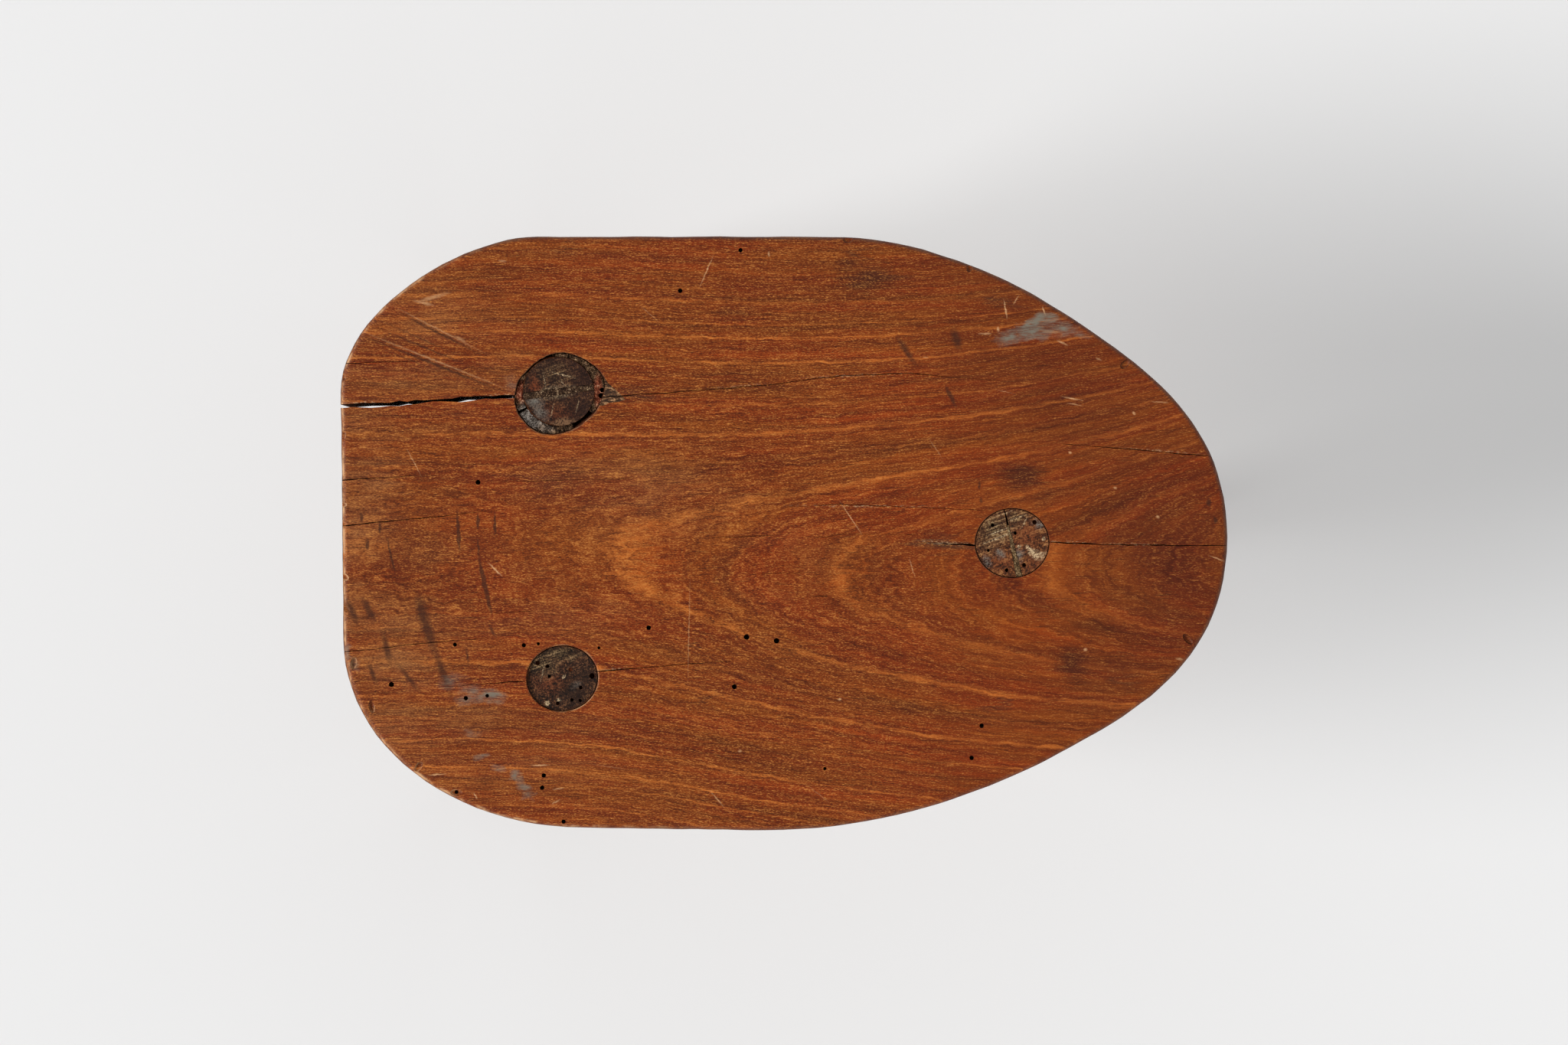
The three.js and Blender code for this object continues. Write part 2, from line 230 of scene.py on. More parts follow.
def turned_cone(top, top_radius, bottom, bottom_radius, narrow, sides=64):
    """An upright cone between two depths below the seat top, narrower across its Y."""
    put_down()
    bpy.ops.mesh.primitive_cone_add(
        vertices=sides,
        radius1=bottom_radius * MM,
        radius2=top_radius * MM,
        depth=(top - bottom) * MM,
        location=(0, 0, (top + bottom) / 2 * MM),
    )
    bpy.ops.object.transform_apply(location=True, rotation=True, scale=True)
    cone = bpy.context.object
    for vertex in cone.data.vertices:
        vertex.co.y *= narrow
    return cone


def tenon_cone(joint, room=0):
    """The tenon's own shape, longer at both ends than the seat is thick."""
    radius = joint["diameter"] / 2 + room
    top_radius = radius - cutter_above * tenon_taper
    bottom_radius = radius + cutter_below * tenon_taper
    cone = turned_cone(cutter_above, top_radius, -cutter_below, bottom_radius, joint["shrinkage"])
    return slant_into_place(cone, joint)


def carve(piece, cutter, operation="DIFFERENCE"):
    """Cut a piece with another shape, which is used up. The cut takes the cutter's finish."""
    take(piece)
    cut = piece.modifiers.new("cut", "BOOLEAN")
    cut.operation = operation
    cut.object = cutter
    cut.solver = "EXACT"
    cut.material_mode = "TRANSFER"
    bpy.ops.object.modifier_apply(modifier=cut.name)
    bpy.data.objects.remove(cutter)


beech = bpy.data.materials.new("worn beech")
# The insides of holes, cracks, mortises and kerfs get a dark finish: painted shade, with some dust
painted_shade_inside = bpy.data.materials.new("painted shade inside a hole or crack")
seat.data.materials.append(beech)


def bore(piece, *cutters):
    """Cut with several shapes that stay clear of each other, and leave a dark finish inside them, a painted
    shade.
    """
    cutter = take(*cutters)
    if len(cutters) > 1:
        bpy.ops.object.join()
    cutter.data.materials.clear()
    cutter.data.materials.append(painted_shade_inside)
    carve(piece, cutter)


bore(seat, *[tenon_cone(joint, clearance) for joint in joints])

# The rear left mortise has worn to a ragged mouth, wider than its tenon. Its reach is counted every 15
# degrees round the tenon, from the nose towards the left side.
mouth_reach = [
    18.6, 19.4, 18.8, 17.6, 16.9, 16.6, 16.2, 15.7, 15.4, 15.4, 15.9, 17.2,
    17.9, 18.9, 19.2, 19.1, 19.0, 18.2, 17.2, 16.4, 16.0, 16.0, 16.6, 17.5,
]
mouth_depth = 48
mouth_slope = 0.048
mouth_blank = 1000


def curve_between(h0, h1, h2, h3, share):
    """The height of a smooth curve at a share of the way from h1 to h2, with h0 before and h3 after."""
    bend = 2 * h0 - 5 * h1 + 4 * h2 - h3 + share * (3 * (h1 - h2) + h3 - h0)
    return h1 + share / 2 * (h2 - h0 + share * bend)


def curve_round(heights, turn):
    """The height at a turn, in degrees, of the smooth closed curve through evenly spaced heights."""
    place = turn / 360 * len(heights)
    last = math.floor(place)
    return curve_between(*[heights[(last + i) % len(heights)] for i in (-1, 0, 1, 2)], place - last)


def worn_mouth(room=0):
    """The ragged mouth as a solid: a wide round blank drawn in to the mouth's reach all round."""
    blank = turned_cone(10, mouth_blank, -mouth_depth, mouth_blank, 1, sides=120)
    for vertex in blank.data.vertices:
        x, y, z = vertex.co / MM
        ragged = 0.22 * noise.noise(Vector((x / 90, y / 90, 5)))
        reach = curve_round(mouth_reach, math.degrees(math.atan2(y, x))) + ragged + mouth_slope * z - room
        vertex.co.x *= reach / math.hypot(x, y)
        vertex.co.y *= reach / math.hypot(x, y)
    return slant_into_place(blank, rear_left_joint)


bore(seat, worn_mouth())


def saw(piece, point, direction, keep):
    """Saw a piece through, square to a direction, and keep what lies along it (1) or against it (-1)."""
    edit_all(piece)
    bpy.ops.mesh.bisect(
        plane_co=point, plane_no=direction, use_fill=True, clear_inner=keep > 0, clear_outer=keep < 0,
    )
    put_down()


def saw_level(piece, level, keep):
    """Saw a piece off at a level and keep what is above (1) or below (-1)."""
    saw(piece, (0, 0, level * MM), (0, 0, 1), keep)


def wear_rim(hole, joint):
    """Take the sharp edge off a hole with a collar cut from its own shape, spread at the top."""
    width = joint["worn rim"]
    above = 1
    saw_level(hole, seat_top - width, 1)
    saw_level(hole, seat_top + above, -1)
    middle = Vector((*joint["mortise"], 0)) * MM
    for vertex in hole.data.vertices:
        outwards = Vector((vertex.co.x, vertex.co.y, 0)) - middle
        spread = width + above if vertex.co.z > seat_top * MM else -0.04
        vertex.co += outwards.normalized() * spread * MM
    hole.data.materials.clear()
    hole.data.materials.append(beech)
    carve(seat, hole)


for joint in joints:
    wear_rim(worn_mouth() if joint is rear_left_joint else tenon_cone(joint, clearance), joint)

# A corner has torn out between the worn mouth and the crack before it: (X, Y, depth) round its edge
torn_edge = [
    (-65.9, 55.7, 0.2), (-67.8, 57.7, 0.4), (-70.6, 60.4, 0.9), (-73.2, 62.6, 1.3), (-75.0, 65.4, 1.2),
    (-78.6, 66.0, 1.6), (-79.5, 60.0, 2.2), (-78.6, 53.6, 2.0), (-75.4, 53.1, 1.6), (-72.6, 54.4, 1.3),
    (-69.0, 54.7, 0.8),
]
torn_middle = (-74, 58)
torn_wood = bpy.data.materials.new("torn wood")


def direction_of(x, y, middle=(0, 0)):
    """The direction of a place from the middle, from 0 to a full turn."""
    return (math.atan2(y - middle[1], x - middle[0]) + 0.001) % (2 * math.pi)


put_down()
bpy.ops.mesh.primitive_cylinder_add(vertices=len(torn_edge))
chip = bpy.context.object
around = sorted(torn_edge, key=lambda place: direction_of(*place[:2], torn_middle))
corners = sorted(chip.data.vertices, key=lambda vertex: (vertex.co.z, direction_of(*vertex.co.xy)))
for i, vertex in enumerate(corners):
    x, y, depth = around[i % len(around)]
    is_top = i >= len(around)
    vertex.co = Vector((x, y, seat_top + (4 if is_top else -depth))) * MM
mark_out(chip, "polygons", lambda face: True)
bpy.ops.mesh.normals_make_consistent(inside=False)
put_down()
chip.data.materials.append(torn_wood)
carve(seat, chip)

# Splits and cracks follow the grain. Each is a line of (X, Y, width), cut with a fine blade that tapers
# downwards to a depth. The first goes right through, from the rear edge to the worn mortise.
split_depth = 300
through_split = [
    (-187, 53.0, 2.2), (-172, 53.6, 2.1), (-160, 54.2, 1.8), (-150, 54.9, 1.2), (-143, 55.3, 1.1),
    (-138, 55.7, 1.9), (-124, 56.7, 1.8), (-114, 57.0, 1.4), (-108, 57.2, 0.8),
]
cracks = {
    "left side, long": (4.5, [(-77, 56.4, 0.5), (-62, 57.7, 0.36), (-29.5, 59.9, 0.25), (-5, 62.1, 0.32),
                              (11.2, 64.3, 0.22), (27.5, 65.9, 0.4), (51, 66.6, 0.36), (65.4, 65.6, 0.22),
                              (89.9, 63.7, 0.14)]),
    "nose": (7, [(109.6, -3.5, 0.58), (118, -3.9, 0.65), (132.3, -4.5, 0.4), (158, -4.9, 0.43),
                 (186, -5.1, 0.22)]),
    "behind the nose tenon": (6, [(57, -3.5, 0.14), (68, -4.2, 0.36), (80.5, -5.1, 0.94)]),
    "above the nose tenon": (2.5, [(1.4, 11.1, 0.14), (24, 12.1, 0.25), (65.4, 10.5, 0.22),
                                   (84, 9.6, 0.14)]),
    "nose, left": (4, [(115.4, 37.3, 0.18), (137.7, 35.7, 0.29), (166.7, 33.1, 0.32), (178, 32.2, 0.36)]),
    "rear, outer left": (3.5, [(-187, 70.7, 0.43), (-168, 71.3, 0.25), (-150.6, 71.7, 0.14)]),
    "rear, middle left": (4, [(-187, 22, 0.43), (-170, 23, 0.29), (-152.8, 24.2, 0.14)]),
    "middle left, faint": (1.5, [(-118.7, 21.3, 0.14), (-90, 22.4, 0.18), (-62, 22.9, 0.14)]),
    "rear, middle": (5, [(-187, 3, 0.5), (-166, 5, 0.36), (-148, 6.7, 0.25), (-116.2, 10.2, 0.14)]),
    "rear, outer right": (5, [(-187, -49.6, 0.5), (-170, -48, 0.32), (-152.8, -45.9, 0.25),
                              (-122.6, -43.3, 0.14)]),
    "behind the rear right tenon": (3, [(-138.5, -63.7, 0.14), (-124, -62.4, 0.22), (-107.6, -61.4, 0.43)]),
    "before the rear right tenon": (5, [(-78.4, -57.4, 0.65), (-67, -56.4, 0.43), (-55.7, -55.4, 0.32),
                                        (-20.6, -52.9, 0.14)]),
    "middle": (1.2, [(-31.1, -1.9, 0.14), (-14, -1.2, 0.22), (-1.8, -0.6, 0.14)]),
    "middle, second": (1.2, [(6.1, -1.6, 0.14), (17.6, -1.3, 0.18), (24, -0.3, 0.14), (55.8, -0.6, 0.14)]),
    "middle, third": (1.2, [(-13.3, -16.9, 0.14), (8.7, -16.2, 0.18)]),
    "middle, short": (1.5, [(11.2, -26.1, 0.14), (15, -26, 0.36), (19.2, -26.1, 0.14)]),
    "rear right, short": (1.2, [(-121.9, -33.1, 0.14), (-103.4, -32.2, 0.22)]),
}


def blade(line, depth, step=3.5, wander=0.18):
    """A thin tapered blade swept along a line of (X, Y, width), centred on the seat top.

    Its line and width change by chance at every step, but for its two ends.
    """
    path = bpy.data.curves.new("blade", "CURVE")
    path.dimensions = "3D"
    path.bevel_depth = 1
    path.bevel_resolution = 0
    path.use_fill_caps = True
    places = []
    for (x0, y0, w0), (x1, y1, w1) in zip(line, line[1:]):
        count = max(1, round((x1 - x0) / step))
        for i in range(count):
            t = i / count
            places.append((x0 + (x1 - x0) * t, y0 + (y1 - y0) * t, w0 + (w1 - w0) * t))
    places.append(line[-1])
    spline = path.splines.new("POLY")
    spline.points.add(len(places) - 1)
    for point, (x, y, width) in zip(spline.points, places):
        inner = 0 < places.index((x, y, width)) < len(places) - 1
        sway = wander * (chance.random() - 0.5) * 2 if inner else 0
        share = 0.6 + 0.8 * chance.random() if inner else 0.5
        point.co = (x * MM, (y + sway) * MM, 0, 1)
        point.radius = width / 2 * share * MM
    made = bpy.data.objects.new("blade", path)
    bpy.context.scene.collection.objects.link(made)
    take(made)
    bpy.ops.object.convert(target="MESH")
    made = bpy.context.object
    edit_all(made)
    bpy.ops.mesh.remove_doubles(threshold=same_place * MM)
    bpy.ops.mesh.normals_make_consistent(inside=False)
    put_down()
    widest = max(abs(v.co.z) for v in made.data.vertices)
    for vertex in made.data.vertices:
        vertex.co.z = seat_top * MM + vertex.co.z / widest * depth * MM
    return made


chance = random.Random(7)
bore(seat, blade(through_split, split_depth, wander=0.25))
bore(seat, *[blade(line, depth) for depth, line in cracks.values()])

# Furniture beetles have bored it: (X, Y, width of the hole)
beetle_holes = [
    (-18.1, 117.9, 1.8), (-43.2, 101, 1.9), (-127.3, 21.3, 2.1), (-136.9, -46.2, 1.7),
    (-108.2, -46.5, 1.8), (-102.2, -45.9, 1.4), (-77, -47.5, 1.3), (-56.3, -39.2, 2.0), (-15.5, -43, 2.4),
    (-3.1, -44.6, 2.3), (-20.6, -63.7, 2.2), (-163.3, -62.8, 2.2), (-132.4, -68.5, 1.9),
    (-123.5, -67.5, 1.6), (-99.9, -100.7, 1.9), (-100.6, -105.8, 1.9), (-91.7, -119.8, 1.8),
    (82.3, -80, 2.0), (78.1, -93.3, 1.9), (17, -97.8, 1.4), (-136.3, -107.7, 1.7),
]


def auger(x, y, level, width, deepest=9, lean=0.35):
    """A round cutter that goes down from a level at a chance slant, to a chance depth."""
    put_down()
    slant = Vector((lean * (chance.random() - 0.5), lean * (chance.random() - 0.5), 1))
    deep = deepest * (0.3 + 0.5 * chance.random())
    bpy.ops.mesh.primitive_cylinder_add(vertices=16, radius=width / 2 * MM, depth=2 * deep * MM)
    hole = bpy.context.object
    turn = Vector((0, 0, 1)).rotation_difference(slant)
    for vertex in hole.data.vertices:
        uneven = 1 + 0.14 * (chance.random() - 0.5)
        vertex.co = Vector((vertex.co.x * uneven, vertex.co.y * uneven, vertex.co.z))
        vertex.co = Vector((x, y, level)) * MM + turn @ vertex.co
    return hole


bore(seat, *[auger(x, y, seat_top, width) for x, y, width in beetle_holes])

# Beetles have come out at the sides, each hole (X, Y, Z, width), and below
side_holes = [
    (-62, 124, 281, 1.7), (-30, 124, 272, 1.5), (8, 124, 287, 1.9), (-185, -8, 279, 1.8),
    (-185, 31, 286, 1.5), (-184, -30, 271, 1.6), (-70, -123, 276, 1.8), (-38, -124, 284, 1.5),
    (160, -52, 277, 1.7), (150, 65, 284, 1.6),
]
under_holes = [
    (-140, 20, 1.8), (-128, 12, 1.6), (-60, -70, 2.0), (-48, -66, 1.5), (-20, 40, 1.8), (30, -60, 1.9),
    (41, 72, 1.6), (72, 40, 1.8), (130, 30, 1.7), (-10, -20, 1.5), (-96, 100, 1.9), (14, 96, 1.6),
    (-150, -70, 1.8),
]



def side_auger(x, y, z, width):
    """A cutter that goes in level, straight across at the long sides and towards the middle elsewhere."""
    hole = auger(0, 0, 0, width, deepest=6)
    at_long_side = abs(y) > 120
    inwards = Vector((0 if at_long_side else -x, -y, 0))
    turn = Vector((0, 0, 1)).rotation_difference(inwards)
    for vertex in hole.data.vertices:
        vertex.co = Vector((x, y, z)) * MM + turn @ vertex.co
    return hole


bore(seat, *[auger(x, y, seat_underside, width, deepest=8) for x, y, width in under_holes])
bore(seat, *[side_auger(*hole) for hole in side_holes])

# Knocks have left small dents in its edges
nicks = [
    (-136.3, -107.7), (26.8, 122.3), (77.5, 111.2), (141.8, 70.4), (-184, 40), (-183.2, -18), (168, -44),
    (-184.2, 66), (-184.6, 12), (-184.4, 4), (-182.8, -31), (-179, -54), (-171.5, -72), (-183, 82),
    (-152, -97),
]


def nick(x, y):
    """A small egg-shaped cutter, lying at a chance turn."""
    put_down()
    bpy.ops.mesh.primitive_ico_sphere_add(subdivisions=2, radius=1)
    dent = bpy.context.object
    length, width, depth = (2.2 + chance.random(), 1.3 + chance.random() / 2, 0.7 + chance.random() / 2)
    turn = chance.random() * math.pi
    for vertex in dent.data.vertices:
        along, across, up = vertex.co
        vertex.co = Vector((
            x + along * length * math.cos(turn) - across * width * math.sin(turn),
            y + along * length * math.sin(turn) + across * width * math.cos(turn),
            seat_top - 0.4 + up * depth,
        )) * MM
    dent.data.materials.append(beech)
    return dent


for x, y in nicks:
    carve(seat, nick(x, y))


def finish_piece(piece, node):
    """Shade the piece softly but for its sharp edges, hang it from the stool's root body and hide the CAD
    node it replaces.
    """
    take(piece)
    bpy.ops.object.shade_smooth_by_angle(angle=math.radians(32))
    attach(piece, "root")
    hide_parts(node)


finish_piece(seat, "seat_board")


map_length = 372
map_width = 250
map_gap = 0.01


def lay_out_map(piece, top_share):
    """Lay a flat map over the piece, most of it for the top, for when its finish is kept as a picture."""
    corners = piece.data.vertices
    piece.data.uv_layers.new(name="OFBake")

    def is_off_top(face):
        return face.normal.z < 0.5 or face.center.z < (seat_top - 2) * MM

    mark_out(piece, "polygons", is_off_top)
    bpy.ops.uv.smart_project(angle_limit=1.15, island_margin=0.004, scale_to_bounds=True)
    put_down()
    places = piece.data.uv_layers["OFBake"].data
    for face in piece.data.polygons:
        for loop in face.loop_indices:
            x, y, z = corners[piece.data.loops[loop].vertex_index].co / MM
            u, v = places[loop].uv
            if is_off_top(face):
                places[loop].uv = (u, v * (1 - map_gap - top_share))
            else:
                places[loop].uv = (0.5 + x / map_length, 1 - top_share / 2 + y / map_width * top_share)


lay_out_map(seat, 0.67)


# Its finish is laid on in coats: the stained wood with its rings and fibres first, then what wear, dirt and
# knocks have done to it, with painted shade in the dark rim of its edges. The other pieces are finished in
# the same way.
class Value:
    """What a step of a finish gives: a number, place or colour that varies over the surface."""

    def __init__(self, finish, socket):
        self.finish = finish
        self.socket = socket

    def __add__(self, other):
        return self.finish.math("ADD", self, other)

    def __radd__(self, other):
        return self.finish.math("ADD", other, self)

    def __sub__(self, other):
        return self.finish.math("SUBTRACT", self, other)

    def __rsub__(self, other):
        return self.finish.math("SUBTRACT", other, self)

    def __mul__(self, other):
        return self.finish.math("MULTIPLY", self, other)


class Finish:
    """A finish built up node by node, laid on one material coat by coat."""

    def __init__(self, material):
        material.use_nodes = True
        material.node_tree.nodes.clear()
        self.tree = material.node_tree
        surface = self.node("ShaderNodeTexCoord", out="Object")
        self.mm = self.node("ShaderNodeVectorMath", {0: surface, "Scale": 1 / MM}, operation="SCALE")
        self.x, self.y, self.z = self.parts(self.mm)
        self.facing_x, _, self.facing_z = self.parts(Value(self, surface.socket.node.outputs["Normal"]))

    def node(self, kind, inputs=(), out=0, **settings):
        made = self.tree.nodes.new(kind)
        for name, value in settings.items():
            setattr(made, name, value)
        for socket, value in inputs.items() if isinstance(inputs, dict) else enumerate(inputs):
            if isinstance(value, Value):
                self.tree.links.new(value.socket, made.inputs[socket])
            else:
                made.inputs[socket].default_value = value
        return Value(self, made.outputs[out])

    def parts(self, place):
        """The X, Y and Z of a place or a direction."""
        outputs = self.node("ShaderNodeSeparateXYZ", [place]).socket.node.outputs
        return [Value(self, output) for output in outputs]

    def math(self, operation, *values):
        return self.node("ShaderNodeMath", values, operation=operation)

    def fade(self, value, start, end, low=0, high=1):
        """Low before start, high after end and a soft change between."""
        inputs = {"Value": value, "From Min": start, "From Max": end, "To Min": low, "To Max": high}
        return self.node("ShaderNodeMapRange", inputs, interpolation_type="SMOOTHSTEP")

    def stretched(self, x, y, z, turn=0, shift=(0, 0, 0), places=None):
        """Places divided by the size of a pattern along each axis, in millimetres."""
        inputs = {
            "Vector": places or self.mm,
            "Location": shift,
            "Rotation": (0, 0, math.radians(turn)),
            "Scale": (x, y, z),
        }
        return self.node("ShaderNodeMapping", inputs, vector_type="TEXTURE")

    def soft_noise(self, places, out, detail=2.0, roughness=0.5):
        inputs = {"Vector": places, "Scale": 1.0, "Detail": detail, "Roughness": roughness}
        return self.node("ShaderNodeTexNoise", inputs, out)

    def cloud(self, *size, detail=2.0, roughness=0.5, **place):
        """Soft noise about 0, seldom beyond 0.3 either way, of a size along X, Y and Z."""
        return self.soft_noise(self.stretched(*size, **place), "Fac", detail, roughness) - 0.5

    def bent(self, along, across, length, width):
        """Places pushed along and across the grain by soft noise, for marks with uneven edges."""
        push = self.soft_noise(self.stretched(length, width, width), "Color", roughness=0.6)
        push = self.node("ShaderNodeVectorMath", [push, (0.5, 0.5, 0.5)], operation="SUBTRACT")
        push = self.node("ShaderNodeVectorMath", [push, (along, across, 0)], operation="MULTIPLY")
        return self.node("ShaderNodeVectorMath", [self.mm, push], operation="ADD")

    def mix(self, share, first, second):
        return self.node("ShaderNodeMix", {0: share, 6: first, 7: second}, out=2, data_type="RGBA")

    def lay(self, share, red, green, blue):
        """Lay a stain over the colour so far, as strongly as the share says at each place."""
        self.colour = self.mix(share, self.colour, stain(red, green, blue))

    def ramp(self, value, stops):
        made = self.node("ShaderNodeValToRGB", [value])
        line = made.socket.node.color_ramp
        while len(line.elements) < len(stops):
            line.elements.new(0.5)
        for element, (place, colour) in zip(line.elements, stops):
            element.position = place
            element.color = colour
        return made

    def shades(self, value, *stops):
        """A run of stains, each (place from 0 to 1, red, green, blue)."""
        return self.ramp(value, [(place, stain(*shade)) for place, *shade in stops])

    def spots(self, marks, places=None):
        """The strongest of several soft oval marks at each point of the seat's top.

        Each mark is (x, y, half length, half width, turn in degrees, strength).
        """
        strongest = None
        for x, y, length, width, turn, strength in marks:
            placed = self.stretched(length, width, 6, turn, (x, y, seat_top), places)
            mark = self.node("ShaderNodeTexGradient", [placed], out="Fac", gradient_type="SPHERICAL")
            mark = mark * strength
            strongest = self.math("MAXIMUM", strongest, mark) if strongest else mark
        return strongest

    def strokes(self, lines, places=None):
        """Several straight marks from end to end, each (x, y, x, y, half width, strength)."""
        marks = []
        for x0, y0, x1, y1, width, strength in lines:
            long = math.hypot(x1 - x0, y1 - y0) / 2
            turn = math.degrees(math.atan2(y1 - y0, x1 - x0))
            marks.append(((x0 + x1) / 2, (y0 + y1) / 2, long * 1.15 + width, width, turn, strength))
        return self.spots(marks, places)

    def seal(self, colour, roughness, height, depth, specular):
        """Set the colour, the sheen and a fine relief, its depth in millimetres, on the surface."""
        bump = self.node("ShaderNodeBump", {"Height": height, "Strength": 1.0, "Distance": depth * MM})
        inputs = {"Base Color": colour, "Roughness": roughness, "Normal": bump}
        shader = self.node("ShaderNodeBsdfPrincipled", {**inputs, "Specular IOR Level": specular})
        last = self.tree.nodes.new("ShaderNodeOutputMaterial")
        self.tree.links.new(shader.socket, last.inputs["Surface"])


def stain(red, green, blue):
    """A colour as it is seen, 0 to 255, given as the light that it reflects."""
    return (*[((c / 255 + 0.055) / 1.055) ** 2.4 if c > 10 else c / 3295 for c in (red, green, blue)], 1)


# The year rings lie round the heart of the tree, which ran below the plank and rose towards the nose, so
# they show on top as long arches open to the nose. Some stand out: (radius, half width, strength).
bold_rings = [
    (76.0, 0.7, 0.25), (84.3, 0.8, 0.4), (92.2, 0.9, 0.75), (98.5, 0.6, 0.35), (104.2, 0.8, 0.7),
    (111.0, 0.6, 0.55), (122.5, 0.5, 0.75), (129.8, 0.7, 0.9), (134.0, 0.5, 0.9), (141.0, 0.6, 0.6),
]
least_radius = 60
most_radius = 160
straight_behind = -72
heart_at_middle = 15.85
heart_slant = 0.0805
heart_bend = 0.00066
heart_depth_squared = 7561
heart_rise = 15.79
least_depth = 20


def year_rings(coat):
    """The distance from the heart of the tree, in millimetres, bent a little by its growth."""
    x = coat.math("SMOOTH_MAX", coat.x, straight_behind, 70)
    aside = x * heart_slant - x * x * heart_bend + heart_at_middle + coat.y
    depth = coat.math("SQRT", coat.math("MAXIMUM", x * -heart_rise + heart_depth_squared, least_depth**2))
    depth = depth + coat.z - seat_top
    apart = coat.math("SQRT", aside * aside + depth * depth)
    sway = coat.cloud(90, 40, 40, detail=1)
    waver = coat.cloud(9, 3, 3)
    return apart + sway * 2.5 + waver * 1.8


def ring_lines(coat, radius):
    """How strongly the bold rings show at each distance from the heart."""
    stops = []
    for ring, half, strength in bold_rings:
        for place, level in ((ring - half / 3, 0), (ring, strength), (ring + 1.1 * half, 0)):
            stops.append(((place - least_radius) / (most_radius - least_radius), (level, level, level, 1)))
    inputs = {"Value": radius, "From Min": least_radius, "From Max": most_radius}
    return coat.ramp(coat.node("ShaderNodeMapRange", inputs), stops)


coat = Finish(beech)
radius = year_rings(coat)
year = {"W": radius, "Scale": 0.34, "Detail": 3.0}
year = coat.node("ShaderNodeTexNoise", year, out="Fac", noise_dimensions="1D")
lines = ring_lines(coat, radius)
patchy = coat.cloud(26, 7, 7, shift=(31, 5, 0), detail=3, roughness=0.6)
lines = lines * coat.fade(patchy, -0.2, 0.1, 0.25, 1)

# Fibres that follow the rings, the nap of the surface and the short dark flecks of beech
flow = coat.node("ShaderNodeCombineXYZ", [coat.x, radius * 1.2, coat.z])
hair = coat.cloud(4.2, 0.28, 0.4, roughness=0.7)
nap = coat.cloud(0.9, 0.25, 0.4, turn=-3, shift=(2, 6, 3), detail=1)
fibre = coat.cloud(13, 0.36, 0.6, places=flow, roughness=0.6)
streak = coat.cloud(48, 0.75, 2, shift=(9, 1, 2), places=flow, detail=3, roughness=0.65)
pores = coat.cloud(16, 0.55, 0.8, turn=1.5, shift=(4, 4, 4), detail=1)
flecks = coat.cloud(2.6, 0.5, 1.2, turn=-5, detail=0)
bands = coat.cloud(110, 4.5, 9, shift=(3, 2, 0), places=flow, detail=3)
blotch = coat.cloud(45, 20, 20, shift=(7, 9, 4), detail=4, roughness=0.6)

tone = 0.5 + (year - 0.5) * 0.42 + bands * 0.26 + blotch * 0.22 + fibre * 0.36 + streak * 0.46
reddish = coat.shades(
    tone, (0.0, 60, 18, 6), (0.3, 90, 31, 7), (0.5, 118, 43, 8), (0.7, 146, 56, 11), (1.0, 184, 80, 22),
)
golden = coat.shades(
    tone, (0.0, 62, 25, 6), (0.3, 90, 38, 8), (0.5, 116, 51, 11), (0.7, 142, 68, 16), (1.0, 182, 100, 34),
)
hue = coat.cloud(70, 5, 9, shift=(1, 8, 5), places=flow, detail=3) + blotch * 0.5
coat.colour = coat.mix(coat.fade(hue, -0.19, 0.17), reddish, golden)
coat.lay(lines * coat.fade(fibre, -0.3, 0.15, 0.4, 1), 210, 118, 46)

# The stain has gone orange in the arch of the rings, red and dark towards the nose, and pale and grey
# where it has worn through at the rear.
uneven = coat.bent(46, 9, 30, 2.2)
orange_patches = [
    (-52, 1, 19, 5, 8, 1.2), (-53, -12, 5, 16, 10, 1.6), (-42, -27, 15, 4, -32, 1.2),
    (25, -18, 15, 5, 35, 1.2), (-20, 7, 26, 2.5, 10, 0.8), (40, 21, 34, 3, 13, 0.9),
    (-134, 5, 26, 7, 0, 0.8), (-20, 40, 60, 2, 3, 0.5), (100, -40, 40, 6, 18, 0.6),
    (75, 6, 30, 3, 14, 0.7),
]
coat.lay(coat.spots(orange_patches, uneven) * 0.36, 172, 78, 18)
red_patches = [
    (118, 60, 75, 42, -30, 0.65), (160, -10, 50, 75, 10, 1.0), (95, 100, 60, 20, -28, 0.5),
    (140, -55, 40, 22, 35, 0.7), (20, -50, 90, 30, 0, 0.25), (33, 104, 15, 6, 0, 0.9),
    (-136, 20, 9, 5, 0, 0.6), (-38, 24, 20, 5, 10, 0.5), (120.5, -53.8, 11, 8, 40, 1.3),
    (99.1, 24.5, 12, 7, 0, 1.4), (164, -35, 22, 10, 55, 1.0), (-120.3, 102.9, 6, 5, 0, 0.9),
    (20, 100, 80, 14, 0, 0.35),
]
coat.lay(coat.math("MINIMUM", coat.spots(red_patches, uneven), 1) * 0.7, 70, 24, 11)
grime_patches = [
    (35.4, 107, 14, 7, 0, 1.0), (29, 116.6, 6, 5, 0, 0.9), (-90.7, 118.8, 5, 4, 0, 0.8),
    (88.3, 97.2, 5, 3.5, 0, 1.1), (96, 95.6, 4, 3, 0, 1.0), (89.9, -70.7, 5, 5, 0, 0.9),
    (-93.9, 21.3, 24, 15, 0, 0.6), (-68, 16, 30, 14, 0, 0.45), (68, -4.5, 18, 4.5, -3, 1.9),
    (-64, 57, 16, 5, 0, 1.2), (-112, 57, 16, 4, 0, 0.6), (-38.5, -46, 4, 2.5, 0, 1.0),
    (-31, -70, 4, 3, 0, 0.8), (140, -61, 6, 5, 0, 0.8), (-150, -10, 30, 30, 0, 0.35),
]
coat.lay(coat.spots(grime_patches, uneven) * 0.6, 62, 38, 25)
